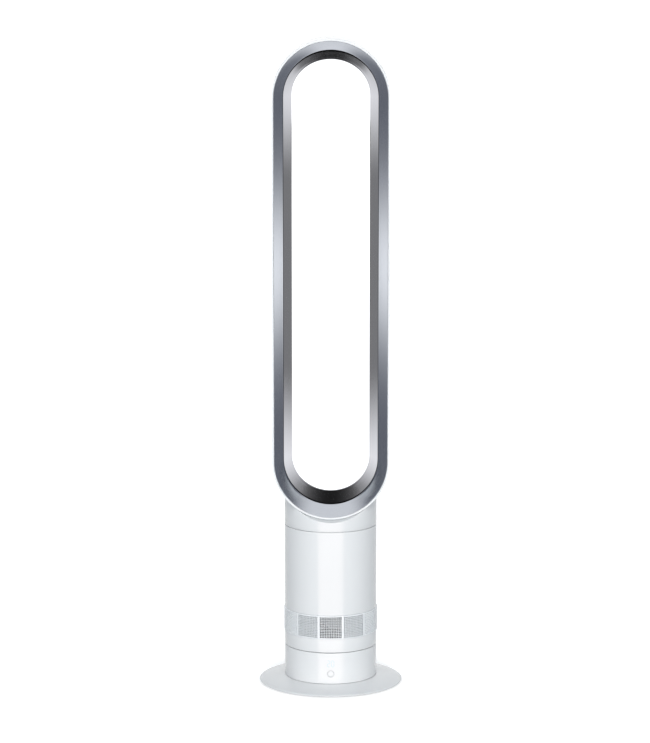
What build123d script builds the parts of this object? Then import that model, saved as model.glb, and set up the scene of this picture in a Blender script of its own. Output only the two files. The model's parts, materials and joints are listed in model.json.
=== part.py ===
"""Bladeless tower fan: a racetrack loop on a turning cylinder, on a fixed round base.

Frame: millimetres, +Z up, the front faces -Y, the origin is on the floor under the centre of the base.
"""
from build123d import *
import math
import os

os.makedirs("parts", exist_ok=True)

# ---------------------------------------------------------------- driving dimensions
overall_height = 1007.0
loop_width = 180.5          # outside the white casing
loop_bottom = 267.7
loop_depth = 110.0
loop_front = -52.0          # y of the front lip
casing_wall = 2.9
casing_flat = 84.0          # depth at which the casing starts to round into its nose
nose_centre = 13.5          # inward offset of the nose's rearmost line
nose_wall = 2.5
slot_depth = 78.0           # depth of the air slot's mouth
slot_lip = 29.1             # inward offset of the slot's lip, on the air side
lip_wall = 1.25

crease_depth = 32.0         # where the front trim meets the inner casing
crease_offset = 17.5
crease_gap = 0.8
trim_wall = 2.2
inner_wall = 2.2
throat_depth = 66.0         # narrowest place of the opening
throat_side = 30.0          # inward offset there along the straight sides
throat_end = 34.4           # and at the round ends
throat_flare = 1.45         # how much wider the end arcs are than the straight sides there
spacer_pitch = 80.0         # of the small bridges that hold the air slot open
spacers_a_side = 7

duct_y = 6.0                # the air duct into the loop stands a little behind the axis
duct_radius = 36.0

body_radius = 71.7
body_wall = 2.5
seam_gap = 0.9
base_seam = 61.1            # seam between the fixed base and the turning body
neck_seam = 251.7           # seam between the body and the loop's neck

plate_radius = 111.4
plate_rim_top = 4.6
plate_rim_bottom = 0.8
plate_top = 11.4
plate_wall = 3.0
foot_radius = 7.0
foot_circle = 97.0
foot_count = 6

grille_bottom = 83.1
grille_top = 120.0
grille_radius = 72.9
grille_wall = 2.2
grille_sectors = 12
grille_strip = 3.6          # degrees of solid strip between two sectors
grille_rim = 2.0
slots_per_sector = 7
slot_width = 2.6

button_height = 28.1
button_radius = 4.6
button_travel = 1.0
bezel_radius = 5.9
digits_height = 44.1        # middle of the display
digit_tall = 10.6
digit_wide = 4.9
digit_pitch = 6.3
segment_width = 1.1
segment_gap = 0.3
segment_inset = 0.35
gland_height = 24.0         # strain relief of the power lead, in the back of the base
gland_radius = 7.5
gland_bore = 3.7
gland_length = 14.0

gear_module = 1.5
ring_teeth = 60
pinion_teeth = 15
pressure_angle = math.radians(20)
tooth_thickness = 0.84      # share of half the pitch, so that the teeth keep some play
gear_bottom = 50.5
gear_top = 56.0
ring_outer = 50.0

hub_radius = 15.0
hub_bore = 9.0
hub_bottom = 38.0
shaft_radius = 4.0
motor_shaft_radius = 3.0
bearing_inner = 52.5        # ring that the turning body runs on
bearing_outer = 57.0
turntable_bottom = 58.6
running_fit = 0.05
body_gap = 0.4              # between pieces that move against each other
wall_lap = 0.5              # how far an inner feature runs into the wall that carries it
drill = 12.0                # length of the cutters for holes through a thin round wall

screw_x = 52.0              # screws that hold the loop on its neck
screw_ys = (-18.0, 30.0)
screw_radius = 1.4
screw_head = 2.8
screw_head_height = 2.2
casing_boss_radius = 4.2
casing_boss_top = 296.0
neck_boss_radius = 4.6
neck_boss_bottom = 273.0
body_screw_circle = 62.5    # screws that hold the body on its turntable
body_screw_count = 4
body_screw_radius = 1.5
post_circle = 60.5          # long screws that hold the base together
post_count = 4
post_radius = 4.5
base_screw_radius = 1.8

eye_radius = 38.0           # inlet of the impeller
shroud_top_radius = 52.0
hub_top_radius = 37.0
impeller_bottom = 129.0
impeller_top = 157.0
impeller_back = 160.0
blade_count = 9
blade_wall = 1.6
housing_wall = 2.0
housing_radius = 56.0
housing_top = 236.0
vane_count = 11
vane_bottom = 176.0
vane_top = 200.0
vane_twist = 24.0           # degrees
motor_bottom = 174.0
motor_top = 196.0
stator_radius = 36.0
rotor_radius = 19.0
pole_count = 6
bucket_radius = 44.0
bucket_bottom = 164.0
bucket_split = 202.0
bucket_top = 226.0
bucket_wall = 2.0
ball_bearing_radius = 9.0
ball_bearing_height = 5.0
wire_port_radius = 3.0
loom_radius = 2.4
loom_side = -62.0
loom_entry = 212.0

# ---------------------------------------------------------------- worked-out dimensions
UP = (Align.CENTER, Align.CENTER, Align.MIN)
loop_half_width = loop_width / 2
loop_reach = (overall_height - loop_bottom) / 2
loop_middle = (overall_height + loop_bottom) / 2
lower_arc = loop_bottom + loop_half_width
upper_arc = overall_height - loop_half_width
body_inside = body_radius - body_wall
base_top = base_seam - seam_gap / 2
body_bottom = base_seam + seam_gap / 2
body_top = neck_seam - seam_gap / 2
neck_bottom = neck_seam + seam_gap / 2
bucket_inside = bucket_radius - bucket_wall
pitch_ring = gear_module * ring_teeth / 2
pitch_pinion = gear_module * pinion_teeth / 2
pinion_y = pitch_ring - pitch_pinion
screw_places = [(x, y) for x in (-screw_x, screw_x) for y in screw_ys]


def finish(builder, label):
    """Names a finished piece and writes it."""
    builder.part.label = label
    export_step(builder.part, f"parts/{label}.step")


def tube(outer, inner, low, high):
    """A plain ring on the upright axis, added to the current piece."""
    with BuildSketch(Plane.XY.offset(low)) as profile:
        Circle(outer)
        Circle(inner, mode=Mode.SUBTRACT)
    extrude(profile.sketch, amount=high - low)


def post(radius, low, high, mode=Mode.ADD):
    """An upright cylinder at the current locations."""
    with Locations((0, 0, low)):
        Cylinder(radius, high - low, align=UP, mode=mode)


def turned(*points, mode=Mode.ADD):
    """A solid turned about the upright axis from (radius, height) corners."""
    with BuildSketch(Plane.XZ) as profile:
        with BuildLine():
            Polyline(*points, close=True)
        make_face()
    revolve(profile.sketch, axis=Axis.Z, mode=mode)


# ---------------------------------------------------------------- the loop
def loop_plane(depth):
    """Upright plane across the loop, a given depth behind its front lip."""
    return Plane(origin=(0, loop_front + depth, loop_middle), x_dir=(1, 0, 0), z_dir=(0, -1, 0))


def racetrack(depth, side, end, flare=0.0):
    """Face of a racetrack outline, side and end being its inward offsets from the casing's outside."""
    half_width = loop_half_width - side
    reach = loop_reach - end
    radius = half_width + flare
    corner = reach - radius + math.sqrt(radius ** 2 - half_width ** 2)
    with BuildSketch(loop_plane(depth)) as outline:
        with BuildLine():
            ThreePointArc((-half_width, corner), (0, reach), (half_width, corner))
            Line((half_width, corner), (half_width, -corner))
            ThreePointArc((half_width, -corner), (0, -reach), (-half_width, -corner))
            Line((-half_width, -corner), (-half_width, corner))
        make_face()
    return outline.sketch.face()


def lofted(sections, wall=0.0, mode=Mode.ADD):
    """Ruled solid through (depth, side, end, flare) outlines, each moved outwards by a wall."""
    faces = [racetrack(depth, side - wall, end - wall, flare) for depth, side, end, flare in sections]
    loft(faces, ruled=True, mode=mode)


def racetrack_block(offset):
    """The loop's outline as a block far deeper than the loop, grown or shrunk by an offset."""
    with BuildPart() as block:
        extrude(racetrack(-loop_depth, offset, offset), amount=3 * loop_depth, dir=(0, 1, 0))
    return block.part


def place(depth, offset):
    """Point of the loop's section on the right-hand side, as (x, y)."""
    return (loop_half_width - offset, loop_front + depth)


def carried_round(section):
    """Carries a section, drawn flat for the right-hand side, all round the loop."""
    low = section.moved(Location((0, 0, lower_arc)))
    high = section.moved(Location((0, 0, upper_arc)))
    revolve(low, axis=Axis((0, 0, lower_arc), (0, 1, 0)), revolution_arc=180)
    revolve(high, axis=Axis((0, 0, upper_arc), (0, -1, 0)), revolution_arc=180)
    extrude(low, amount=upper_arc - lower_arc, dir=(0, 0, 1))
    extrude(low.mirror(Plane.YZ), amount=upper_arc - lower_arc, dir=(0, 0, 1))


def casing_section():
    """Flat outer wall, rounded nose and the slot's lip, as one thin bent strip."""
    nose = (loop_half_width - nose_centre, loop_front + casing_flat)
    lip = (loop_half_width - nose_centre, loop_front + slot_depth)
    nose_deep = loop_depth - casing_flat
    lip_deep = loop_depth - slot_depth
    lip_wide = slot_lip - nose_centre
    with BuildSketch() as section:
        with BuildLine():
            Line(place(0, 0), place(casing_flat, 0))
            EllipticalCenterArc(nose, nose_centre, nose_deep, 0, arc_size=90)
            EllipticalCenterArc(lip, lip_wide, lip_deep, 90, arc_size=90)
            Line(place(slot_depth, slot_lip), place(slot_depth, slot_lip - lip_wall))
            EllipticalCenterArc(lip, lip_wide - lip_wall, lip_deep - nose_wall, 90, arc_size=90)
            EllipticalCenterArc(nose, nose_centre - casing_wall, nose_deep - nose_wall, 0, arc_size=90)
            Line(place(casing_flat, casing_wall), place(0, casing_wall))
            Line(place(0, casing_wall), place(0, 0))
        make_face()
    return section.sketch.face()


boss_cover = 2.0            # solid left above the end of a screw hole
duct_hole_top = 288.0
within_wall = racetrack_block(casing_wall / 2)

with BuildPart() as casing_bosses:
    with Locations(*screw_places):
        post(casing_boss_radius, loop_bottom, casing_boss_top)
    add(within_wall, mode=Mode.INTERSECT)

with BuildPart() as outer_casing:
    carried_round(casing_section())
    add(casing_bosses.part)
    with Locations(*screw_places):
        post(screw_radius, loop_bottom, casing_boss_top - boss_cover, mode=Mode.SUBTRACT)
    with Locations((0, duct_y)):
        post(duct_radius, neck_bottom, duct_hole_top, mode=Mode.SUBTRACT)
finish(outer_casing, "outer_casing")

trim_slope = (crease_offset - casing_wall) / crease_depth
trim_front = 0.25
trim_back = crease_depth - crease_gap
trim_play = 0.1             # between the trim's skirt and the casing around it
trim_skirt = 16.0
trim_skirt_wall = 2.0


def trim_line(depth, below=0.0):
    """Point on the trim's air side, or a distance below it."""
    return place(depth, casing_wall + trim_slope * depth - below)


with BuildSketch() as trim_section:
    with BuildLine():
        Polyline(
            trim_line(trim_front),
            trim_line(trim_back),
            trim_line(trim_back, trim_wall),
            place((trim_skirt_wall + trim_wall) / trim_slope, casing_wall + trim_skirt_wall),
            place(trim_skirt, casing_wall + trim_skirt_wall),
            place(trim_skirt, casing_wall + trim_play),
            close=True,
        )
    make_face()

with BuildPart() as front_trim:
    carried_round(trim_section.sketch.face())
finish(front_trim, "front_trim")

air_front = crease_depth + crease_gap / 2
air_front_offset = crease_offset + trim_slope * crease_gap / 2
tail_side = 24.0
tail_end = 23.2

# (depth, inward offset at the sides, at the ends, flare of the end arcs) along the air side
air_side = [
    (air_front, air_front_offset, air_front_offset, 0.0),
    (throat_depth - 6, throat_side - 1.5, throat_end - 1.9, 1.2),
    (throat_depth, throat_side, throat_end, throat_flare),
    (throat_depth + 5, throat_side - 0.8, throat_end - 2.2, 1.2),
    (casing_flat, tail_side, tail_end, 0.0),
]

flange_front = 26.0         # the inner casing's flange lies behind the trim
flange_step = 31.7
flange_back = 33.5
flange_top = trim_wall + 0.15
flange_root = trim_wall - 0.6
flange_base = trim_wall + 1.5

with BuildSketch() as flange_section:
    with BuildLine():
        Polyline(
            trim_line(flange_front, flange_top),
            trim_line(flange_step, flange_top),
            trim_line(flange_back, flange_root),
            trim_line(flange_back, flange_base),
            trim_line(flange_front, flange_base),
            close=True,
        )
    make_face()

with BuildPart() as inner_casing:
    lofted(air_side, wall=inner_wall)
    lofted(air_side, mode=Mode.SUBTRACT)
    carried_round(flange_section.sketch.face())
finish(inner_casing, "inner_casing")

spacer_front = slot_depth + 0.6
spacer_back = casing_flat - 0.4
spacer_play = 0.06
spacer_height = 1.4


def tail_offset(depth):
    """Inward offset of the inner casing's air side, from its last bend to its rear edge."""
    bend_depth = throat_depth + 5
    bend_offset = throat_side - 0.8
    return bend_offset + (tail_side - bend_offset) * (depth - bend_depth) / (casing_flat - bend_depth)


def lip_offset(depth):
    """Inward offset of the hollow side of the slot's lip."""
    share = (depth - slot_depth) / (loop_depth - slot_depth - nose_wall)
    return nose_centre + (slot_lip - lip_wall - nose_centre) * math.sqrt(1 - share ** 2)


with BuildSketch() as spacer_section:
    with BuildLine():
        Polyline(
            place(spacer_front, tail_offset(spacer_front) + spacer_play),
            place(spacer_back, tail_offset(spacer_back) + spacer_play),
            place(spacer_back, lip_offset(spacer_back) - spacer_play),
            place(spacer_front, lip_offset(spacer_front) - spacer_play),
            close=True,
        )
    make_face()

with BuildPart() as slot_spacers:
    for side in (spacer_section.sketch, spacer_section.sketch.mirror(Plane.YZ)):
        for step in range(spacers_a_side):
            height = loop_middle + (step - (spacers_a_side - 1) / 2) * spacer_pitch
            extrude(side.moved(Location((0, 0, height))), amount=spacer_height, dir=(0, 0, 1))
finish(slot_spacers, "slot_spacers")

# ---------------------------------------------------------------- the neck under the loop
neck_gap = 0.35             # between the neck's saddle and the loop
saddle_wall = 2.5
neck_height = 306.0         # well above the saddle's highest point
spigot_wall = 2.4
spigot_bottom = neck_bottom - 8
spigot_top = neck_bottom + 3
screw_clearance = 0.2
loop_block = racetrack_block(-neck_gap)
saddle_block = racetrack_block(-neck_gap - saddle_wall)

with BuildPart() as neck_hollow:
    post(body_inside, neck_bottom, neck_height)
    add(saddle_block, mode=Mode.SUBTRACT)
    with Locations(*screw_places):
        post(neck_boss_radius, neck_boss_bottom, neck_height, mode=Mode.SUBTRACT)

with BuildPart() as loop_neck:
    post(body_radius, neck_bottom, neck_height)
    add(neck_hollow.part, mode=Mode.SUBTRACT)
    tube(body_inside, body_inside - spigot_wall, spigot_bottom, spigot_top)
    add(loop_block, mode=Mode.SUBTRACT)
    with Locations((0, duct_y)):
        post(duct_radius, neck_bottom, neck_height, mode=Mode.SUBTRACT)
    with Locations(*screw_places):
        post(screw_radius + screw_clearance, neck_boss_bottom, neck_height, mode=Mode.SUBTRACT)
finish(loop_neck, "loop_neck")

loop_screw_top = casing_boss_top - 3

with BuildPart() as loop_screws:
    with Locations(*screw_places):
        post(screw_radius, neck_boss_bottom, loop_screw_top)
        post(screw_head, neck_boss_bottom - screw_head_height, neck_boss_bottom)
finish(loop_screws, "loop_screws")

duct_wall = 1.8
duct_bottom = 239.0
duct_foot_radius = 64.0
duct_shoulder = neck_seam + 8
duct_room = racetrack_block(casing_wall + 1.4)


def duct_form(wall, mode=Mode.ADD):
    """The duct's cone and the pipe above it, made smaller by a wall."""
    with BuildSketch(Plane.XY.offset(duct_bottom)) as foot:
        Circle(duct_foot_radius - wall)
    with BuildSketch(Plane.XY.offset(duct_shoulder)) as shoulder:
        with Locations((0, duct_y)):
            Circle(duct_radius - wall)
    loft([foot.sketch.face(), shoulder.sketch.face()], mode=mode)
    with Locations((0, duct_y)):
        post(duct_radius - wall, duct_shoulder, neck_height, mode=mode)


with BuildPart() as air_duct:
    duct_form(0)
    duct_form(duct_wall, mode=Mode.SUBTRACT)
    add(duct_room, mode=Mode.SUBTRACT)
finish(air_duct, "air_duct")

# ---------------------------------------------------------------- turning body: shell and grille
rib_inside = 67.4           # ribs behind the grille's strips carry the body over its openings
rib_depth = 2.8
rib_width = 5.0
rib_reach = 8.0
grille_play = 0.4
grille_height = grille_top - grille_bottom
deck_bottom = 124.0
deck_wall = 2.4
ledge_inside = rib_inside - 2.4
ledge_bottom = deck_bottom - 3.4
stop_inside = body_inside - 2.5     # ring that the neck's spigot stands on
stop_bottom = body_top - 12.0
stop_top = body_top - 9.0

with BuildPart() as body_shell:
    tube(body_radius, body_inside, body_bottom, grille_bottom - grille_play)
    tube(body_radius, body_inside, grille_top + grille_play, body_top)
    with PolarLocations(rib_inside + rib_depth / 2, grille_sectors, start_angle=360 / grille_sectors / 2):
        with Locations((0, 0, grille_bottom - rib_reach)):
            Box(rib_depth, rib_width, grille_height + 2 * rib_reach, align=UP)
    tube(body_inside + wall_lap, ledge_inside, ledge_bottom, deck_bottom)
    tube(body_inside + wall_lap, stop_inside, stop_bottom, stop_top)
finish(body_shell, "body_shell")

sector_angle = 360 / grille_sectors
slot_pitch = (sector_angle - grille_strip) / slots_per_sector
slot_height = grille_height - 2 * grille_rim

with BuildPart() as intake_grille:
    tube(grille_radius, grille_radius - grille_wall, grille_bottom, grille_top)
    for sector in range(grille_sectors):
        for step in range(slots_per_sector):
            angle = sector_angle * sector + (step - (slots_per_sector - 1) / 2) * slot_pitch
            with PolarLocations(grille_radius, 1, start_angle=angle):
                with Locations((0, 0, grille_bottom + grille_rim)):
                    Box(drill, slot_width, slot_height, align=UP, mode=Mode.SUBTRACT)
finish(intake_grille, "intake_grille")

# ---------------------------------------------------------------- air mover inside the turning body
deck_radius = rib_inside - 0.2

with BuildPart() as inlet_bellmouth:
    turned(
        (eye_radius + 8, deck_bottom - 8),
        (eye_radius + 2.6, deck_bottom - 3),
        (eye_radius + 1, deck_bottom + 3),
        (eye_radius + 1, deck_bottom + 4.6),
        (eye_radius + 3, deck_bottom + 4.6),
        (eye_radius + 3, deck_bottom + deck_wall),
        (deck_radius, deck_bottom + deck_wall),
        (deck_radius, deck_bottom),
        (eye_radius + 4.4, deck_bottom),
        (eye_radius + 4.4, deck_bottom - 3),
        (eye_radius + 9.6, deck_bottom - 7),
    )
    with Locations((loom_side, 0)):
        post(wire_port_radius, deck_bottom, deck_bottom + deck_wall, mode=Mode.SUBTRACT)
finish(inlet_bellmouth, "inlet_bellmouth")

housing_flange = housing_radius + 6

with BuildPart() as impeller_housing:
    turned(
        (eye_radius + 1.0, impeller_bottom - 0.2),
        (shroud_top_radius + 1.0, impeller_top),
        (housing_radius, impeller_top + 10),
        (housing_radius, housing_top),
        (housing_flange, housing_top),
        (housing_flange, housing_top - housing_wall),
        (housing_radius + housing_wall, housing_top - housing_wall),
        (housing_radius + housing_wall, impeller_top + 9),
        (shroud_top_radius + 3.2, impeller_top - 1),
        (eye_radius + 3.4, impeller_bottom - 0.2),
    )
    with Locations(Location((-housing_radius, 0, loom_entry), (0, 90, 0))):
        Cylinder(wire_port_radius, drill, mode=Mode.SUBTRACT)
finish(impeller_housing, "impeller_housing")

blade_foot = impeller_bottom + 0.6

with BuildPart() as blade_room:
    turned(
        (13.0, blade_foot),
        (eye_radius, blade_foot),
        (shroud_top_radius, impeller_top),
        (hub_top_radius - 2, impeller_top),
    )

with BuildPart() as blade:
    with BuildSketch(Plane.XY.offset(impeller_bottom)):
        with BuildLine():
            ThreePointArc((6, 0), (32, 8), (56, 32))
        trace(line_width=blade_wall)
    extrude(amount=impeller_top - impeller_bottom)
    add(blade_room.part, mode=Mode.INTERSECT)

with BuildPart() as impeller:
    turned(
        (shaft_radius, impeller_bottom),
        (10.0, impeller_bottom),
        (16.0, impeller_bottom + 4),
        (hub_top_radius, impeller_top),
        (hub_top_radius, impeller_back),
        (hub_top_radius - 2.5, impeller_back),
        (14.0, impeller_bottom + 7),
        (10.0, impeller_bottom + 7),
        (9.0, impeller_back),
        (shaft_radius, impeller_back),
    )
    with PolarLocations(0, blade_count):
        add(blade.part)
finish(impeller, "impeller")

shaft_bottom = impeller_bottom - 5
shaft_top = motor_top + 14

with BuildPart() as motor_shaft:
    post(shaft_radius, shaft_bottom, shaft_top)
finish(motor_shaft, "motor_shaft")

with BuildPart() as motor_rotor:
    tube(rotor_radius, shaft_radius, motor_bottom, motor_top)
finish(motor_rotor, "motor_rotor")

bearing_seats = (bucket_bottom + 0.5, bucket_split - 1.0)

with BuildPart() as motor_bearings:
    for level in bearing_seats:
        tube(ball_bearing_radius, shaft_radius + running_fit, level, level + ball_bearing_height)
finish(motor_bearings, "motor_bearings")

motor_height = motor_top - motor_bottom
yoke_wall = 4.0
tooth_middle = 26.5
tooth_length = 12.0
tooth_width = 6.0
shoe_middle = 21.5
shoe_depth = 2.0
shoe_width = 14.0
coil_middle = 27.2
coil_length = 8.4
coil_width = 11.0
coil_overhang = 2.5
coil_play = 0.1

with BuildPart() as motor_stator:
    tube(stator_radius, stator_radius - yoke_wall, motor_bottom, motor_top)
    with PolarLocations(tooth_middle, pole_count):
        with Locations((0, 0, motor_bottom)):
            Box(tooth_length, tooth_width, motor_height, align=UP)
    with PolarLocations(shoe_middle, pole_count):
        with Locations((0, 0, motor_bottom)):
            Box(shoe_depth, shoe_width, motor_height, align=UP)
finish(motor_stator, "motor_stator")

with BuildPart() as motor_windings:
    with PolarLocations(coil_middle, pole_count):
        with Locations((0, 0, motor_bottom - coil_overhang)):
            Box(coil_length, coil_width, motor_height + 2 * coil_overhang, align=UP)
            Box(drill, tooth_width + 2 * coil_play, drill * coil_overhang, align=UP, mode=Mode.SUBTRACT)
finish(motor_windings, "motor_windings")

mount_height = 6.0
mount_levels = (motor_bottom + 1, motor_top - 1 - mount_height)

with BuildPart() as motor_mount:
    for level in mount_levels:
        tube(bucket_inside, stator_radius, level, level + mount_height)
finish(motor_mount, "motor_mount")

seat_outer = ball_bearing_radius + 1.6
shaft_hole = shaft_radius + 0.8

with BuildPart() as motor_bucket_lower:
    turned(
        (ball_bearing_radius, bucket_bottom - 1.5),
        (20.0, bucket_bottom - 1.5),
        (bucket_radius, bucket_bottom + 6),
        (bucket_radius, bucket_split),
        (bucket_inside, bucket_split),
        (bucket_inside, bucket_bottom + 7),
        (20.0, bucket_bottom + 1),
        (seat_outer, bucket_bottom + 1),
        (seat_outer, bucket_bottom + 6),
        (ball_bearing_radius, bucket_bottom + 6),
    )
    tube(ball_bearing_radius + wall_lap, shaft_hole, bucket_bottom - 1.5, bucket_bottom + 0.5)
finish(motor_bucket_lower, "motor_bucket_lower")

spoke_count = 3
spoke_width = 3.0
spoke_bottom = bucket_split + 1
spoke_middle = (ball_bearing_radius + bucket_radius) / 2
spoke_length = bucket_radius - ball_bearing_radius - 2

with BuildPart() as motor_bucket_upper:
    turned(
        (bucket_radius, bucket_split),
        (bucket_radius, bucket_split + 8),
        (36.0, bucket_top - 5),
        (20.0, bucket_top),
        (0.0, bucket_top),
        (0.0, bucket_top - 2),
        (19.0, bucket_top - 2),
        (34.5, bucket_top - 6.6),
        (bucket_inside, bucket_split + 7.4),
        (bucket_inside, bucket_split),
    )
    tube(seat_outer, ball_bearing_radius, bucket_split - 1, bucket_split + 4)
    with PolarLocations(spoke_middle, spoke_count):
        with Locations((0, 0, spoke_bottom)):
            Box(spoke_length, spoke_width, spoke_width, align=UP)
    with Locations(Location((-bucket_radius, 0, loom_entry), (0, 90, 0))):
        Cylinder(wire_port_radius, drill, mode=Mode.SUBTRACT)
finish(motor_bucket_upper, "motor_bucket_upper")

vane_wall = 1.8

with BuildPart() as vane_room:
    tube(housing_radius, bucket_radius, vane_bottom, vane_top)

with BuildPart() as guide_vanes:
    with PolarLocations((housing_radius + bucket_radius) / 2, vane_count):
        with Locations(Location((0, 0, (vane_bottom + vane_top) / 2), (vane_twist, 0, 0))):
            Box(2 * (housing_radius - bucket_radius), vane_wall, vane_top - vane_bottom + 2)
    add(vane_room.part, mode=Mode.INTERSECT)
finish(guide_vanes, "guide_vanes")

board_wall = 1.6
motor_board_radius = 31.0
motor_board_bottom = 207.5

with BuildPart() as motor_board:
    tube(motor_board_radius, seat_outer + 1.4, motor_board_bottom, motor_board_bottom + board_wall)
finish(motor_board, "motor_board")

seal_height = 3.0

with BuildPart() as housing_seal:
    tube(body_inside, housing_radius + 4.4, housing_top, housing_top + seal_height)
finish(housing_seal, "housing_seal")

foam_gap = 0.5
foam_bottom = 140.0
foam_top = 228.0
foam_channel = 12.0         # room for the wiring

with BuildPart() as sound_foam:
    tube(body_inside - foam_gap, housing_flange + foam_gap, foam_bottom, foam_top)
    with Locations((loom_side, 0, foam_bottom)):
        Box(2 * foam_channel, foam_channel, foam_top - foam_bottom, align=UP, mode=Mode.SUBTRACT)
finish(sound_foam, "sound_foam")

# ---------------------------------------------------------------- turntable and drive
turntable_radius = 67.0
chassis_bottom = 43.0
chassis_top = 46.0


def involute(angle):
    """Involute function of a pressure angle."""
    return math.tan(angle) - angle


def flank_angle(radius, pitch_radius, thickness):
    """Half the angle that a tooth takes up at a radius."""
    base = pitch_radius * math.cos(pressure_angle)
    turn = involute(math.acos(min(base / radius, 1.0)))
    return thickness / (2 * pitch_radius) + involute(pressure_angle) - turn


def gear_face(teeth, root, tip, share):
    """Involute toothed outline with one tooth pointing along +X."""
    pitch_radius = gear_module * teeth / 2
    thickness = share * math.pi * gear_module / 2
    flank = [max(root, pitch_radius * math.cos(pressure_angle)), pitch_radius, tip]
    corners = []
    for tooth in range(teeth):
        middle = 2 * math.pi * tooth / teeth
        first = flank_angle(flank[0], pitch_radius, thickness)
        path = [(root, -first)] if flank[0] > root else []
        path += [(radius, -flank_angle(radius, pitch_radius, thickness)) for radius in flank]
        path += [(radius, -angle) for radius, angle in reversed(path)]
        corners += [(radius * math.cos(middle + angle), radius * math.sin(middle + angle))
                    for radius, angle in path]
    with BuildSketch() as outline:
        with BuildLine():
            Polyline(*corners, close=True)
        make_face()
    return outline.sketch.face()


addendum = gear_module
dedendum = 1.25 * gear_module
ring_dedendum = 1.3 * gear_module
ring_face = gear_face(ring_teeth, pitch_ring - addendum, pitch_ring + ring_dedendum, 2 - tooth_thickness)
pinion_face = gear_face(pinion_teeth, pitch_pinion - dedendum, pitch_pinion + addendum, tooth_thickness)

with BuildPart() as ring_gear:
    post(ring_outer, gear_bottom, turntable_bottom)
    tooth_spaces = ring_face.moved(Location((0, 0, gear_bottom)))
    extrude(tooth_spaces, amount=turntable_bottom - gear_bottom, mode=Mode.SUBTRACT)
finish(ring_gear, "ring_gear")

pinion_collar = 6.0
collar_bottom = chassis_top + 0.6

with BuildPart() as drive_pinion:
    with Locations(Location((0, pinion_y, gear_bottom), (0, 0, 90))):
        add(pinion_face)
    extrude(amount=gear_top - gear_bottom)
    with Locations((0, pinion_y)):
        post(pinion_collar, collar_bottom, gear_bottom)
        post(motor_shaft_radius, collar_bottom, gear_top, mode=Mode.SUBTRACT)
finish(drive_pinion, "drive_pinion")

drive_motor_top = 34.0

with BuildPart() as drive_shaft:
    with Locations((0, pinion_y)):
        post(motor_shaft_radius, drive_motor_top, gear_top + 0.5)
finish(drive_shaft, "drive_shaft")

rim_bottom = body_bottom - 0.3
rim_top = body_bottom + 2.6
rim_inside = turntable_radius - 4
screw_post_radius = 5.0
screw_post_top = body_bottom + 9.0

with BuildPart() as turntable:
    tube(turntable_radius, hub_bore, turntable_bottom, body_bottom)
    tube(body_inside, rim_inside, rim_bottom, rim_top)
    tube(hub_radius, hub_bore, hub_bottom, turntable_bottom)
    with PolarLocations(body_screw_circle, body_screw_count, start_angle=45):
        post(screw_post_radius, body_bottom, screw_post_top)
        post(body_screw_radius, turntable_bottom, screw_post_top, mode=Mode.SUBTRACT)
finish(turntable, "turntable")

retainer_radius = hub_radius + 5
retainer_inside = hub_radius - 2.5
retainer_bottom = hub_bottom - 2.0

with BuildPart() as hub_retainer:
    tube(retainer_radius, retainer_inside, retainer_bottom, hub_bottom)
    tube(retainer_radius, hub_radius, hub_bottom, chassis_bottom - body_gap)
finish(hub_retainer, "hub_retainer")

body_screw_head = 3.0
body_head_bottom = turntable_bottom - 2.0
body_screw_top = screw_post_top - 1.0

with BuildPart() as body_screws:
    with PolarLocations(body_screw_circle, body_screw_count, start_angle=45):
        post(body_screw_radius, turntable_bottom, body_screw_top)
        post(body_screw_head, body_head_bottom, turntable_bottom)
finish(body_screws, "body_screws")

# ---------------------------------------------------------------- fixed base
housing_bottom = plate_top + 0.6
plate_edge = plate_radius - 2.2
plate_flat = body_radius + 1.5      # the plate falls away outside this radius
plate_rib_width = 2.0
plate_rib_end = plate_edge - 3
plate_rib_bottom = plate_rim_bottom + 1.6
foot_seat = plate_rim_bottom + 0.4
foot_top = plate_rim_bottom + 1.4
foot_boss_wall = 1.6

with BuildPart() as rib_room:
    turned(
        (0, plate_top - 1),
        (plate_flat - 2, plate_top - 1),
        (plate_rib_end, plate_rim_top - 0.6),
        (plate_rib_end, plate_rib_bottom),
        (0, plate_rib_bottom),
    )

with BuildPart() as plate_ribs:
    with PolarLocations(0, foot_count, start_angle=360 / foot_count / 2):
        Box(plate_radius, plate_rib_width, plate_top, align=(Align.MIN, Align.CENTER, Align.MIN))
    add(rib_room.part, mode=Mode.INTERSECT)

with BuildPart() as base_plate:
    turned(
        (0, plate_top),
        (plate_flat, plate_top),
        (plate_edge, plate_rim_top),
        (plate_radius, plate_rim_top - 1.6),
        (plate_radius, plate_rim_bottom),
        (plate_radius - 2.4, plate_rim_bottom),
        (plate_radius - 3.2, plate_rim_bottom + 1.2),
        (plate_flat - 2, plate_top - plate_wall),
        (0, plate_top - plate_wall),
    )
    add(plate_ribs.part)
    with PolarLocations(foot_circle, foot_count):
        post(foot_radius + foot_boss_wall, foot_seat, plate_rim_top)
        post(foot_radius, foot_seat, foot_top, mode=Mode.SUBTRACT)
    with PolarLocations(post_circle, post_count, start_angle=45):
        post(base_screw_radius, plate_rim_bottom, plate_top, mode=Mode.SUBTRACT)
finish(base_plate, "base_plate")

with BuildPart() as rubber_feet:
    with PolarLocations(foot_circle, foot_count):
        post(foot_radius, 0, foot_top)
finish(rubber_feet, "rubber_feet")

# bars of a seven-segment digit, as (across, up, turn in degrees) in half digits
SEGMENTS = {
    "top": (0, 1, 0), "middle": (0, 0, 0), "bottom": (0, -1, 0),
    "upper_left": (-1, 0.5, 90), "upper_right": (1, 0.5, 90),
    "lower_left": (-1, -0.5, 90), "lower_right": (1, -0.5, 90),
}
# bars that are lit, for each digit's column
DIGITS = {
    -0.5: ("top", "upper_right", "middle", "lower_left", "bottom"),
    0.5: ("top", "upper_left", "upper_right", "lower_left", "lower_right", "bottom"),
}


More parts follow.
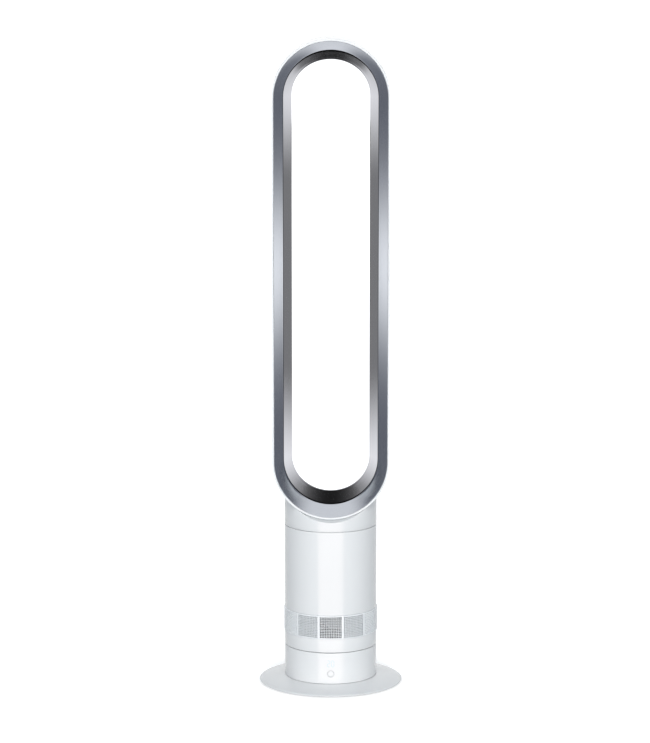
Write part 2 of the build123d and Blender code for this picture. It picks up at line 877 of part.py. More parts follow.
def digit_blocks(front):
    """Bars of the two seven-segment digits, standing across the front of the base."""
    half_wide = (digit_wide - segment_width) / 2
    half_tall = (digit_tall - segment_width) / 2
    upright = half_tall - segment_width - segment_gap
    level = digit_wide - 2 * segment_width - segment_gap
    with BuildSketch(Plane.XZ.offset(body_radius + front)) as bars:
        for column, lit in DIGITS.items():
            for name in lit:
                across, up, turn = SEGMENTS[name]
                centre = (column * digit_pitch + across * half_wide, digits_height + up * half_tall, 0)
                with Locations(Location(centre, (0, 0, turn))):
                    Rectangle(upright if turn else level, segment_width)
    return bars.sketch


def facing(y, height):
    """Place on the front or back of the base, for a cylinder that lies along Y."""
    return Locations(Location((0, y, height), (90, 0, 0)))


with BuildPart() as front_skin:
    tube(body_radius, body_radius - segment_inset, housing_bottom, base_top)

digit_bars = digit_blocks(front=1)

with BuildPart() as display_digits:
    extrude(digit_bars, amount=body_wall, dir=(0, 1, 0))
    add(front_skin.part, mode=Mode.INTERSECT)
finish(display_digits, "display_digits")

with BuildPart() as base_housing:
    tube(body_radius, body_inside, housing_bottom, base_top)
    with facing(-body_radius, button_height):
        Cylinder(bezel_radius, drill, mode=Mode.SUBTRACT)
    with facing(body_radius, gland_height):
        Cylinder(gland_radius, drill, mode=Mode.SUBTRACT)
    add(display_digits.part, mode=Mode.SUBTRACT)
finish(base_housing, "base_housing")

bezel_proud = 0.15
bezel_depth = 1.5           # how far the bezel stands inside the wall
button_play = 0.35

with BuildPart() as bezel_room:
    tube(body_radius + bezel_proud, body_inside - bezel_depth, housing_bottom, base_top)

with BuildPart() as button_bezel:
    with facing(-body_radius, button_height):
        Cylinder(bezel_radius, drill)
        Cylinder(button_radius + button_play, drill, mode=Mode.SUBTRACT)
    add(bezel_room.part, mode=Mode.INTERSECT)
finish(button_bezel, "button_bezel")

board_back = -58.0          # y of the upright control board
board_front = board_back - board_wall
switch_face = board_front - 1.9
collar_y = -65.8
collar_radius = button_radius + 2.0
collar_wall = 1.2
button_stem = 3.0
stem_front = collar_y
stem_back = switch_face - button_travel - body_gap

with BuildPart() as cap_room:
    post(body_radius, button_height - bezel_radius, button_height + bezel_radius)

with BuildPart() as power_button:
    with facing(-body_radius, button_height):
        Cylinder(button_radius, drill + button_travel)
    add(cap_room.part, mode=Mode.INTERSECT)
    with facing(collar_y, button_height):
        Cylinder(collar_radius, collar_wall)
    with Locations((0, (stem_front + stem_back) / 2, button_height)):
        Box(button_stem, stem_back - stem_front, button_stem)
finish(power_button, "power_button")

gland_inner_end = 64.5
gland_groove = 67.6
gland_flange = gland_radius + 2
gland_seat = body_radius + 0.1
gland_tip = gland_bore + 1.8

with BuildPart() as cord_gland:
    with BuildSketch(Plane.YZ) as gland_section:
        with BuildLine():
            Polyline(
                (gland_inner_end, gland_height + gland_bore),
                (gland_inner_end, gland_height + gland_flange),
                (gland_groove, gland_height + gland_flange),
                (gland_groove, gland_height + gland_radius),
                (gland_seat, gland_height + gland_radius),
                (gland_seat, gland_height + gland_flange),
                (gland_seat + 1.5, gland_height + gland_flange),
                (gland_seat + 2.5, gland_height + gland_radius),
                (gland_inner_end + gland_length, gland_height + gland_tip),
                (gland_inner_end + gland_length, gland_height + gland_bore),
                close=True,
            )
        make_face()
    revolve(gland_section.sketch, axis=Axis((0, 0, gland_height), (0, 1, 0)))
finish(cord_gland, "cord_gland")

floor_top = plate_top + 3.0

with BuildPart() as base_floor:
    post(body_inside, plate_top, floor_top)
    with PolarLocations(post_circle, post_count, start_angle=45):
        post(base_screw_radius, plate_top, floor_top, mode=Mode.SUBTRACT)
finish(base_floor, "base_floor")

drive_motor_y = 28.0
drive_motor_radius = 24.5
drive_motor_bottom = 16.0
ear_x = 29.0
ear_width = 8.0
ear_wall = 2.0
ear_bottom = 32.5
ear_places = [(-ear_x, drive_motor_y), (ear_x, drive_motor_y)]
ear_post_radius = 3.5
track_top = 57.0
post_hole_top = 30.0
neck_hole_radius = 7.0
window_width = 52.0         # cut-out of the chassis for the upright board
window_depth = 28.6

with BuildPart() as base_chassis:
    post(body_inside, chassis_bottom, chassis_top)
    tube(bearing_outer, bearing_inner, chassis_top, track_top)
    with PolarLocations(post_circle, post_count, start_angle=45):
        post(post_radius, floor_top, chassis_bottom)
        post(base_screw_radius, floor_top, post_hole_top, mode=Mode.SUBTRACT)
    with Locations(*ear_places):
        post(ear_post_radius, ear_bottom + ear_wall, chassis_bottom)
        post(screw_radius, ear_bottom + ear_wall, chassis_bottom, mode=Mode.SUBTRACT)
    post(hub_radius + running_fit, chassis_bottom, chassis_top, mode=Mode.SUBTRACT)
    with Locations((0, pinion_y)):
        post(neck_hole_radius, chassis_bottom, chassis_top, mode=Mode.SUBTRACT)
    with Locations((0, -body_radius, chassis_bottom)):
        Box(window_width, window_depth, chassis_top - chassis_bottom, align=UP, mode=Mode.SUBTRACT)
finish(base_chassis, "base_chassis")

with BuildPart() as bearing_ring:
    tube(bearing_outer, bearing_inner, track_top, turntable_bottom - 0.3)
finish(bearing_ring, "bearing_ring")

shaft_socket = drive_motor_top - 3.4

with BuildPart() as oscillation_motor:
    with Locations((0, drive_motor_y)):
        post(drive_motor_radius, drive_motor_bottom, drive_motor_top)
    with Locations((0, drive_motor_y, ear_bottom)):
        Box(2 * ear_x + ear_width, ear_width, ear_wall, align=UP)
    with Locations((0, pinion_y)):
        post(pinion_collar, drive_motor_top, chassis_bottom - 0.6)
        post(motor_shaft_radius + running_fit, shaft_socket, chassis_bottom, mode=Mode.SUBTRACT)
    with Locations(*ear_places):
        post(screw_radius, ear_bottom, ear_bottom + ear_wall, mode=Mode.SUBTRACT)
finish(oscillation_motor, "oscillation_motor")

motor_screw_head = 2.6
motor_screw_top = 42.0
motor_head_bottom = ear_bottom - 1.6

with BuildPart() as motor_screws:
    with Locations(*ear_places):
        post(screw_radius, ear_bottom, motor_screw_top)
        post(motor_screw_head, motor_head_bottom, ear_bottom)
finish(motor_screws, "motor_screws")

board_level = 20.0
board_top = board_level + board_wall
board_x = -42.5
board_width = 31.0
board_length = 60.0
board_post_radius = 2.5

with BuildPart() as power_board:
    with Locations((board_x, 0, board_level)):
        Box(board_width, board_length, board_wall, align=UP)
    with Locations((board_x, 0, 0)):
        with GridLocations(board_width - 7, board_length - 8, 2, 2):
            post(board_post_radius, floor_top, board_level)
finish(power_board, "power_board")

transformer = (18.0, 20.0, 15.0)
capacitor_radius = 5.0
capacitor_height = 15.4
heat_sink = (9.0, 16.0, 12.0)
plug_block = (7.0, 8.0, 5.0)

with BuildPart() as board_parts:
    with Locations((-46.0, -16.0, board_top)):
        Box(*transformer, align=UP)
    with Locations((-50.0, 6.0), (-50.0, 19.0)):
        post(capacitor_radius, board_top, board_top + capacitor_height)
    with Locations((-36.0, 15.0, board_top)):
        Box(*heat_sink, align=UP)
    with Locations((-33.5, 0, board_top)):
        Box(*plug_block, align=UP)
finish(board_parts, "board_parts")

IN_FRONT = (Align.CENTER, Align.MAX, Align.CENTER)
control_board_width = 48.0
control_board_height = 36.0
control_board_middle = 36.0
display_box = (15.0, 8.8, 14.0)
receiver_x = 15.0
receiver_box = (6.0, 3.6, 7.0)
lens_radius = 2.4
switch_box = (6.0, 1.5, 6.0)
plunger_radius = 1.7

with BuildPart() as control_board:
    with Locations((0, board_back, control_board_middle)):
        Box(control_board_width, board_wall, control_board_height, align=IN_FRONT)
finish(control_board, "control_board")

with BuildPart() as display_module:
    with Locations((0, board_front, digits_height)):
        Box(*display_box, align=IN_FRONT)
finish(display_module, "display_module")

with BuildPart() as infrared_receiver:
    with Locations((receiver_x, board_front, digits_height)):
        Box(*receiver_box, align=IN_FRONT)
    with Locations(Location((receiver_x, board_front - receiver_box[1], digits_height), (90, 0, 0))):
        Cylinder(lens_radius, lens_radius)
finish(infrared_receiver, "infrared_receiver")

with BuildPart() as push_switch:
    with Locations((0, board_front, button_height)):
        Box(*switch_box, align=IN_FRONT)
    with facing((board_front + switch_face) / 2, button_height):
        Cylinder(plunger_radius, board_front - switch_face)
finish(push_switch, "push_switch")

base_head_radius = 3.4
base_head_bottom = plate_top - plate_wall - screw_head_height
base_screw_top = post_hole_top - 1

with BuildPart() as base_screws:
    with PolarLocations(post_circle, post_count, start_angle=45):
        post(base_screw_radius, base_head_bottom, base_screw_top)
        post(base_head_radius, base_head_bottom, base_head_bottom + screw_head_height)
finish(base_screws, "base_screws")

# ---------------------------------------------------------------- wiring held inside
loom_joint = 34.0           # where the turning wiring meets the fixed wiring
loom_height = 92.0
loom_end = -31.0
base_loom_start = -30.0
base_loom_height = 24.0


def wire(points, radii, heading):
    """A round cable along straight runs joined by arcs."""
    with BuildLine() as route:
        FilletPolyline(*points, radius=radii)
    with BuildSketch(Plane(origin=points[0], z_dir=heading)) as section:
        Circle(loom_radius)
    sweep(section.sketch, path=route.line)


body_route = [
    (0, 0, loom_joint),
    (0, 0, loom_height),
    (loom_side, 0, loom_height),
    (loom_side, 0, loom_entry),
    (loom_end, 0, loom_entry),
]
base_route = [
    (base_loom_start, 0, base_loom_height),
    (0, 0, base_loom_height),
    (0, 0, loom_joint),
]

with BuildPart() as wiring_loom:
    wire(body_route, radii=[26, 22, 4], heading=(0, 0, 1))
finish(wiring_loom, "wiring_loom")

with BuildPart() as base_loom:
    wire(base_route, radii=[8], heading=(1, 0, 0))
finish(base_loom, "base_loom")
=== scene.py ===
"""Looks of a bladeless tower fan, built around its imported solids.

Metres, +Z up, the front faces -Y, the origin is on the floor under the centre of the base.
"""
import json
import math

import bmesh
import bpy
from mathutils import Matrix, Vector


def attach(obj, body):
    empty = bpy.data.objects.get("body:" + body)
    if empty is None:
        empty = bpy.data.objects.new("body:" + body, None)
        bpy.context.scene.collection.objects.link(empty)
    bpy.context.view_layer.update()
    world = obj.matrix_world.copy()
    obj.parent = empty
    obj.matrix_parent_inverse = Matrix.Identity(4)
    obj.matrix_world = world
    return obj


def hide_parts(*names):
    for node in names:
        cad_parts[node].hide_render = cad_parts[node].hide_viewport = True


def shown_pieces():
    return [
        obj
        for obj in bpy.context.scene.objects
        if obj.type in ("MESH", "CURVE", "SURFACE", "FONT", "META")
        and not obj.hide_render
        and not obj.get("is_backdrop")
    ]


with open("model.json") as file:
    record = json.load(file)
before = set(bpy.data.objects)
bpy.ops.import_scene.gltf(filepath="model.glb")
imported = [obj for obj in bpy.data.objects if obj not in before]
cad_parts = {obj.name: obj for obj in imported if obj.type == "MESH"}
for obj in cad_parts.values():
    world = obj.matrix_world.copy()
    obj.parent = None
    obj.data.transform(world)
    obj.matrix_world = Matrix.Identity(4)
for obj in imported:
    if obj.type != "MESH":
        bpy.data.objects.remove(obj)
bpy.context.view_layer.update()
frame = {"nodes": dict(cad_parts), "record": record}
nodes = frame["nodes"]
slot_of = {part["node"]: part["material_slot"] for part in frame["record"]["subparts"]}

MM = 0.001

# ---------------------------------------------------------------- dimensions, in millimetres
OVERALL_HEIGHT = 1006.9
LOOP_HALF_WIDTH = 90.25
LOOP_BOTTOM = 267.7
LOOP_FRONT = -52.0
LOOP_DEPTH = 110.0
LOOP_MIDDLE = (OVERALL_HEIGHT + LOOP_BOTTOM) / 2
LOOP_REACH = (OVERALL_HEIGHT - LOOP_BOTTOM) / 2
LOWER_ARC = LOOP_BOTTOM + LOOP_HALF_WIDTH
CASING_WALL = 2.9
CASING_FLAT = 84.0
NOSE_CENTRE = 13.5
NOSE_WALL = 2.5
SLOT_DEPTH = 78.0
SLOT_LIP = 29.1
LIP_WALL = 1.25
CREASE_DEPTH = 32.0
CREASE_GAP = 0.7
TRIM_WALL = 2.2
INNER_WALL = 2.2
BODY_RADIUS = 71.7
BODY_INSIDE = 69.2
LEDGE_INSIDE = 65.0
LEDGE_BOTTOM = 120.6
LEDGE_TOP = 124.0
BASE_TOP = 60.65
BODY_BOTTOM = 61.55
BODY_TOP = 251.25
NECK_BOTTOM = 252.3
NECK_GAP = 0.5
NECK_WALL = 2.5
NECK_EDGE = 1.3
DUCT_RADIUS = 36.0
HOUSING_BOTTOM = 12.0
PLATE_RADIUS = 111.37
PLATE_TOP = 11.4
PLATE_RIM_TOP = 4.6
PLATE_RIM_BOTTOM = 1.5
PLATE_UNDER = PLATE_TOP - 3.0
PLATE_RIM_UNDER = PLATE_RIM_BOTTOM + 1.2
PLATE_RIM_INSIDE = PLATE_RADIUS - 3.2
PLATE_FLAT_INSIDE = BODY_RADIUS - 0.5
FOOT_RADIUS = 7.0
FOOT_CIRCLE = 97.0
FOOT_COUNT = 6
BOSS_TALL = 1.8
BOSS_MIDDLE = 3.1
CUTTER_LENGTH = 12.0
GRILLE_RADIUS = 72.9
GRILLE_INSIDE = 69.75
GRILLE_BOTTOM = 83.1
GRILLE_TOP = 120.0
GRILLE_MIDDLE = (GRILLE_BOTTOM + GRILLE_TOP) / 2
GRILLE_SECTORS = 12
GRILLE_GAP = 0.25
GRILLE_COLUMNS = 13
GRILLE_ROWS = 13
CELL_WIDE = 2.65
CELL_TALL = 2.59
HOLE_RADIUS = 1.21
HOLE_CORNERS = 12
RIB_PLACE = 68.5
RIB_SIZE = (2.0, 2.4, 52.9)
BUTTON_HEIGHT = 28.1
BUTTON_RADIUS = 4.6
BEZEL_RADIUS = 5.9
BEZEL_INSIDE = 4.95
BUTTON_STEPS = 96
COLLAR_RADIUS = 6.6
COLLAR_FRONT = 5.3
COLLAR_BACK = 6.5
STEM_SIDE = 3.0
STEM_PLACE = -64.4
DIGITS_HEIGHT = 44.1
DIGIT_TALL = 10.6
DIGIT_WIDE = 4.9
DIGIT_PITCH = 6.3
SEGMENT_WIDTH = 1.1
SEGMENT_GAP = 0.2
SEGMENT_PROUD = 0.03
SEGMENT_DEPTH = 0.3
GLAND_HEIGHT = 24.0
GLAND_RADIUS = 7.5

# steps round the body, over each end of the loop, down its sides, and round a boss and a cutter
ROUND_STEPS = 192
ARC_STEPS = 96
SIDE_STEPS = 24
BOSS_STEPS = 48
CUTTER_STEPS = 64
# edges bent further than this many degrees stay sharp
SHARP_ANGLE = 35


# ---------------------------------------------------------------- camera
CAMERA_PLACE = (0, -4.943, 1.344)
CAMERA_TILT = 0.1709
CAMERA_TURN = 0.0018
CAMERA_LENS = 157.22


def aim_camera():
    """Camera at the photograph's place: a long lens, a little above the loop and tilted down."""
    data = bpy.data.cameras.new("camera")
    data.sensor_width = 36.0
    data.lens = CAMERA_LENS
    data.clip_end = 50.0
    camera = bpy.data.objects.new("camera", data)
    camera.location = CAMERA_PLACE
    camera.rotation_euler = (math.pi / 2 - CAMERA_TILT, 0, CAMERA_TURN)
    bpy.context.scene.collection.objects.link(camera)
    bpy.context.scene.camera = camera


aim_camera()


# ---------------------------------------------------------------- mesh helpers
def new_piece(name, body, replaced, material, mesh_builder, sharp=SHARP_ANGLE):
    """An object from a filled bmesh, smooth but for its edges, riding on a body in place of CAD nodes."""
    bmesh.ops.remove_doubles(mesh_builder, verts=mesh_builder.verts, dist=1e-7)
    bmesh.ops.recalc_face_normals(mesh_builder, faces=mesh_builder.faces)
    mesh = bpy.data.meshes.new(name)
    mesh_builder.to_mesh(mesh)
    mesh_builder.free()
    mesh.shade_smooth()
    mesh.set_sharp_from_angle(angle=math.radians(sharp))
    piece = bpy.data.objects.new(name, mesh)
    bpy.context.scene.collection.objects.link(piece)
    mesh.materials.append(material)
    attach(piece, body)
    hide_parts(*replaced)
    return piece


def add_rings(mesh, rings, close_rings=True, close_points=True):
    """Faces between rings of as many points each, in millimetres, unrolled to a UV map by length."""
    made = [[mesh.verts.new(Vector(point) * MM) for point in ring] for ring in rings]
    count = len(made[0])
    ring_pairs = len(made) if close_rings else len(made) - 1
    point_pairs = count if close_points else count - 1
    unrolled = mesh.loops.layers.uv.verify()
    along, across = [0.0], [0.0]
    for k in range(count):
        along.append(along[-1] + (made[0][k].co - made[0][(k + 1) % count].co).length)
    for i in range(len(made)):
        across.append(across[-1] + (made[i][0].co - made[(i + 1) % len(made)][0].co).length)
    for i in range(ring_pairs):
        here, there = made[i], made[(i + 1) % len(made)]
        for k in range(point_pairs):
            face = mesh.faces.new((here[k], here[(k + 1) % count], there[(k + 1) % count], there[k]))
            places = ((k, i), (k + 1, i), (k + 1, i + 1), (k, i + 1))
            for corner, (step, ring) in zip(face.loops, places):
                corner[unrolled].uv = (along[step], across[ring])
    return made


def rounded(corners, steps=4):
    """Closed outline whose corners (a, b, radius) are rounded off, over less than half of each side."""
    outline = []
    count = len(corners)
    for i, (a, b, radius) in enumerate(corners):
        here = Vector((a, b))
        if radius <= 0:
            outline.append(tuple(here))
            continue
        before = Vector(corners[i - 1][:2]) - here
        after = Vector(corners[(i + 1) % count][:2]) - here
        opening = before.angle(after)
        reach = radius / math.tan(opening / 2)
        reach = min(reach, 0.48 * before.length, 0.48 * after.length)
        first = here + before.normalized() * reach
        last = here + after.normalized() * reach
        for k in range(steps + 1):
            t = k / steps
            outline.append(tuple(first * (1 - t) ** 2 + here * 2 * t * (1 - t) + last * t ** 2))
    return outline


def lathe(mesh, outline):
    """Turns a closed (radius, height) outline about the upright axis."""
    rings = []
    for k in range(ROUND_STEPS):
        turn = 2 * math.pi * k / ROUND_STEPS
        rings.append([(r * math.cos(turn), r * math.sin(turn), z) for r, z in outline])
    add_rings(mesh, rings)


def loop_outline(side, foot, crown):
    """(x, z) points round the loop, for the inward offsets of its sides, its lower end and its upper end."""
    straight = LOOP_REACH - LOOP_HALF_WIDTH
    points = []
    for way, end in ((1, crown), (-1, foot)):
        for k in range(ARC_STEPS + 1):
            turn = math.pi / 2 - math.pi * k / ARC_STEPS
            share = math.cos(turn) ** 2
            radius = LOOP_HALF_WIDTH - end * share - side * (1 - share)
            up = straight + radius * math.cos(turn)
            points.append((way * radius * math.sin(turn), LOOP_MIDDLE + way * up))
        half = LOOP_HALF_WIDTH - side
        for k in range(1, SIDE_STEPS):
            points.append((-way * half, LOOP_MIDDLE + way * straight * (1 - 2 * k / SIDE_STEPS)))
    return points


def loop_ring(depth, side, foot=None, crown=None):
    """Points round the loop at a depth behind its front lip; foot and crown are as side unless given."""
    outline = loop_outline(side, side if foot is None else foot, side if crown is None else crown)
    return [(x, LOOP_FRONT + depth, z) for x, z in outline]


def ellipse_arc(centre_offset, centre_depth, wide, deep, first, last, steps):
    """Points (depth, offset) along part of an ellipse, angles in degrees from the outside of the loop."""
    points = []
    for k in range(steps + 1):
        turn = math.radians(first + (last - first) * k / steps)
        points.append((centre_depth + deep * math.sin(turn), centre_offset - wide * math.cos(turn)))
    return points


# ---------------------------------------------------------------- materials
def node_material(name):
    """A new material with its Principled shader, node tree and object coordinates."""
    material = bpy.data.materials.new(name)
    material.use_nodes = True
    tree = material.node_tree
    shader = tree.nodes["Principled BSDF"]
    coordinates = tree.nodes.new("ShaderNodeTexCoord")
    return material, tree, shader, coordinates.outputs["Object"]


def noise(tree, where, scale, detail=3.0, roughness=0.5):
    """A noise texture's value at a scale per metre."""
    texture = tree.nodes.new("ShaderNodeTexNoise")
    texture.inputs["Scale"].default_value = scale
    texture.inputs["Detail"].default_value = detail
    texture.inputs["Roughness"].default_value = roughness
    tree.links.new(where, texture.inputs["Vector"])
    return texture.outputs["Fac"]


def spread_between(tree, value, low, high):
    """Maps a noise, which seldom leaves 0.3 to 0.7, to a range."""
    mapped = tree.nodes.new("ShaderNodeMapRange")
    mapped.inputs["From Min"].default_value = 0.3
    mapped.inputs["From Max"].default_value = 0.7
    mapped.inputs["To Min"].default_value = low
    mapped.inputs["To Max"].default_value = high
    tree.links.new(value, mapped.inputs["Value"])
    return mapped.outputs["Result"]


def mixed_colour(tree, share, first, second):
    """Colour between two colours."""
    mix = tree.nodes.new("ShaderNodeMix")
    mix.data_type = "RGBA"
    mix.inputs["A"].default_value = (*first, 1)
    mix.inputs["B"].default_value = (*second, 1)
    tree.links.new(share, mix.inputs["Factor"])
    return mix.outputs["Result"]


def bumped(tree, shader, height, strength, distance):
    """Gives the shader a bump from a height."""
    bump = tree.nodes.new("ShaderNodeBump")
    bump.inputs["Strength"].default_value = strength
    bump.inputs["Distance"].default_value = distance
    tree.links.new(height, bump.inputs["Height"])
    tree.links.new(bump.outputs["Normal"], shader.inputs["Normal"])


def moulded(name, first, second, rough, grain, depth=0.00002, strength=0.15, patch=14.0, **fixed):
    """Plastic, rubber or metal with drifting tone, uneven gloss and a fine grain.

    rough is the range of roughness, grain the grain's scale per metre, and fixed holds plain shader values.
    """
    material, tree, shader, where = node_material(name)
    tone = spread_between(tree, noise(tree, where, patch), 0.0, 1.0)
    tree.links.new(mixed_colour(tree, tone, first, second), shader.inputs["Base Color"])
    gloss = spread_between(tree, noise(tree, where, patch * 9), *rough)
    tree.links.new(gloss, shader.inputs["Roughness"])
    bumped(tree, shader, noise(tree, where, grain), strength, depth)
    for socket, value in fixed.items():
        shader.inputs[socket.replace("_", " ")].default_value = value
    return material


def streaked(name, first, second, rough, fine):
    """Satin metal finish with fine streaks along the band, fine being their scale per metre."""
    material, tree, shader, where = node_material(name)
    unrolled = tree.nodes.new("ShaderNodeTexCoord").outputs["UV"]
    stretch = tree.nodes.new("ShaderNodeMapping")
    stretch.inputs["Scale"].default_value = (9.0, fine, 1.0)
    tree.links.new(unrolled, stretch.inputs["Vector"])
    streaks = noise(tree, stretch.outputs["Vector"], 1.0, detail=5.0, roughness=0.7)
    tree.links.new(mixed_colour(tree, spread_between(tree, streaks, 0.0, 1.0), first, second),
                   shader.inputs["Base Color"])
    tree.links.new(spread_between(tree, noise(tree, where, 120.0), *rough), shader.inputs["Roughness"])
    bumped(tree, shader, streaks, 0.04, 0.00002)
    shader.inputs["Metallic"].default_value = 1.0
    return material


def gloss_plastic(name, first, second):
    """Smooth white plastic under a thin clear coat."""
    return moulded(name, first, second, (0.10, 0.16), 900.0, depth=0.00001, strength=0.05,
                   Coat_Weight=0.12, Coat_Roughness=0.06)


def display_material():
    """Lit segments behind a clear skin, faint cyan."""
    material, tree, shader, where = node_material("display_segments")
    glow = mixed_colour(tree, noise(tree, where, 700.0), (0.66, 0.78, 0.82), (0.71, 0.81, 0.84))
    tree.links.new(glow, shader.inputs["Base Color"])
    tree.links.new(glow, shader.inputs["Emission Color"])
    shader.inputs["Emission Strength"].default_value = 0.01
    tree.links.new(spread_between(tree, noise(tree, where, 1500.0), 0.15, 0.25), shader.inputs["Roughness"])
    return material


WHITE = gloss_plastic("white_gloss_plastic", (0.826, 0.838, 0.846), (0.838, 0.850, 0.858))
# A lighter copy of the same white plastic for the casing and the grille: painted light, making them look more
# brightly lit.
WHITE_PAINTED_LIGHTER = gloss_plastic("white_gloss_painted_lighter", (0.86, 0.885, 0.905), (0.875, 0.90, 0.918))
# Black for the inner ring's flange and front edge: painted shade standing in for the dark gap at the crease.
CREASE_PAINTED_SHADE = moulded("painted_crease_shade_black", (0.003, 0.003, 0.003), (0.006, 0.006, 0.006), (0.9, 1.0), 900.0,
                       Specular_IOR_Level=0.05)
SILVER = streaked("silver_satin_metal", (0.715, 0.73, 0.76), (0.755, 0.77, 0.80), (0.10, 0.13), 700.0)

SLOT_MATERIALS = {
    "white_gloss": WHITE,
    "silver_metallic": SILVER,
    "cyan_digits": display_material(),
    "grey_ring": moulded("grey_ring_plastic", (0.70, 0.71, 0.72), (0.74, 0.75, 0.76), (0.22, 0.30), 1500.0),
    "black_rubber": moulded("black_rubber", (0.018, 0.018, 0.019), (0.03, 0.03, 0.031), (0.62, 0.8), 1800.0,
                            depth=0.00004, strength=0.4),
    "white_rubber": moulded("white_rubber", (0.70, 0.71, 0.72), (0.74, 0.75, 0.76), (0.45, 0.58), 1600.0,
                            depth=0.00003, strength=0.3),
    "inner_plastic": moulded("inner_plastic", (0.065, 0.068, 0.073), (0.09, 0.093, 0.098), (0.38, 0.5),
                             1300.0),
    "impeller_plastic": moulded("impeller_plastic", (0.035, 0.036, 0.038), (0.06, 0.06, 0.063), (0.3, 0.42),
                                1400.0),
    "acetal": moulded("acetal", (0.62, 0.61, 0.57), (0.68, 0.67, 0.63), (0.3, 0.4), 1100.0),
    "steel": moulded("zinc_plated_steel", (0.52, 0.53, 0.55), (0.62, 0.63, 0.65), (0.24, 0.4), 2200.0,
                     patch=120.0, Metallic=1.0),
    "magnet": moulded("sintered_magnet", (0.10, 0.10, 0.11), (0.16, 0.16, 0.17), (0.35, 0.5), 2400.0,
                      patch=90.0, Metallic=0.9),
    "copper": moulded("enamelled_copper", (0.56, 0.22, 0.09), (0.66, 0.29, 0.13), (0.2, 0.34), 3200.0,
                      patch=200.0, depth=0.00012, strength=0.6, Metallic=1.0),
    "circuit": moulded("circuit_board", (0.012, 0.10, 0.045), (0.02, 0.15, 0.07), (0.25, 0.45), 900.0,
                       patch=260.0),
    "black_plastic": moulded("black_plastic", (0.02, 0.02, 0.021), (0.035, 0.035, 0.036), (0.34, 0.48),
                             1500.0),
    "foam": moulded("open_cell_foam", (0.05, 0.05, 0.052), (0.10, 0.10, 0.104), (0.9, 1.0), 1100.0,
                    patch=300.0, depth=0.0006, strength=0.9),
    "cable": moulded("cable_sleeve", (0.025, 0.025, 0.026), (0.05, 0.05, 0.052), (0.5, 0.64), 2000.0,
                     depth=0.00005, strength=0.4),
}


def dress_cad_nodes():
    """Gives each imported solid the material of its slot."""
    for name, node in nodes.items():
        node.data.materials.clear()
        node.data.materials.append(SLOT_MATERIALS[slot_of[name]])


dress_cad_nodes()


# ---------------------------------------------------------------- the loop
def casing_profile():
    """(depth, offset) outline of the white casing: flat outside, round nose, slot's lip, and back inside."""
    lip_wide = SLOT_LIP - NOSE_CENTRE
    nose_deep = LOOP_DEPTH - CASING_FLAT
    lip_deep = LOOP_DEPTH - SLOT_DEPTH
    outline = [(0.7, CASING_WALL), (0.25, 2.7), (0.05, 2.3), (0.0, 1.5), (0.05, 0.8), (0.3, 0.25), (1.0, 0.0)]
    outline += [(depth, 0.0) for depth in (6.0, 24.0, 54.0, CASING_FLAT - 1)]
    outline += ellipse_arc(NOSE_CENTRE, CASING_FLAT, NOSE_CENTRE, nose_deep, 0, 90, 18)
    outline += ellipse_arc(NOSE_CENTRE, SLOT_DEPTH, lip_wide, lip_deep, 93, 178, 20)
    outline += [(SLOT_DEPTH, SLOT_LIP - 0.15), (SLOT_DEPTH - 0.15, SLOT_LIP - LIP_WALL / 2)]
    outline += [(SLOT_DEPTH, SLOT_LIP - LIP_WALL + 0.15)]
    lip_inner, nose_inner = lip_wide - LIP_WALL, NOSE_CENTRE - CASING_WALL
    outline += ellipse_arc(NOSE_CENTRE, SLOT_DEPTH, lip_inner, lip_deep - NOSE_WALL, 178, 93, 16)
    outline += ellipse_arc(NOSE_CENTRE, CASING_FLAT, nose_inner, nose_deep - NOSE_WALL, 90, 0, 12)
    outline += [(54.0, CASING_WALL), (24.0, CASING_WALL)]
    return outline


def make_casing():
    """The white casing: the loop's outside and its rounded back."""
    mesh = bmesh.new()
    add_rings(mesh, [loop_ring(depth, offset) for depth, offset in casing_profile()])
    # The casing's lighter white is painted light.
    return new_piece("casing_shell", "upper_body", ["outer_casing"], WHITE_PAINTED_LIGHTER, mesh)


# how far the bevel runs inward for each millimetre back, at the sides, at the foot and at the crown
TRIM_SLOPES = (0.4561, 0.4790, 0.5020)
# the share that this falls short by at the lip, less and less towards the crease, so that the bevel bows
TRIM_BOW = 0.14
TRIM_STEPS = 9


def trim_line(depth, below=0.0):
    """(depth, offset at sides, foot and crown) on the trim's air side, or a distance below it."""
    bend = 1 + TRIM_BOW * (depth / CREASE_DEPTH - 1)
    return depth, *(CASING_WALL + slope * depth * bend - below for slope in TRIM_SLOPES)


def make_trim():
    """The silver bevel that frames the front of the loop."""
    lip, back = 0.25, CREASE_DEPTH - CREASE_GAP
    between = [back * k / TRIM_STEPS for k in range(1, TRIM_STEPS)]
    hook_start, hook_end = 9.2, 16.0
    outlines = []
    for which in (1, 2, 3):  # the sides, the foot and the crown
        outlines.append(rounded([
            (lip, trim_line(lip)[which], 0.4),
            *((depth, trim_line(depth)[which], 0) for depth in between),
            (back, trim_line(back)[which], 0.12),
            (back, trim_line(back, TRIM_WALL)[which], 0.3),
            (hook_start, CASING_WALL + 2.0, 0.5),
            (hook_end, CASING_WALL + 2.0, 0.2),
            (hook_end, CASING_WALL + 0.1, 0.2),
        ]))
    mesh = bmesh.new()
    add_rings(mesh, [loop_ring(*side, foot[1], crown[1]) for side, foot, crown in zip(*outlines)])
    return new_piece("front_bevel", "upper_body", ["front_trim"], SILVER, mesh)


# (depth, inward offset at the sides, at the foot, at the crown) along the air side of the inner casing
AIR_SIDE = [
    (32.6, 17.8, 19.9, 20.7),
    (44.0, 22.86, 25.27, 26.2),
    (56.0, 27.98, 31.13, 32.2),
    (62.5, 30.3, 33.9, 35.0),
    (69.0, 29.2, 31.9, 32.8),
    (84.0, 24.0, 23.2, 23.2),
]


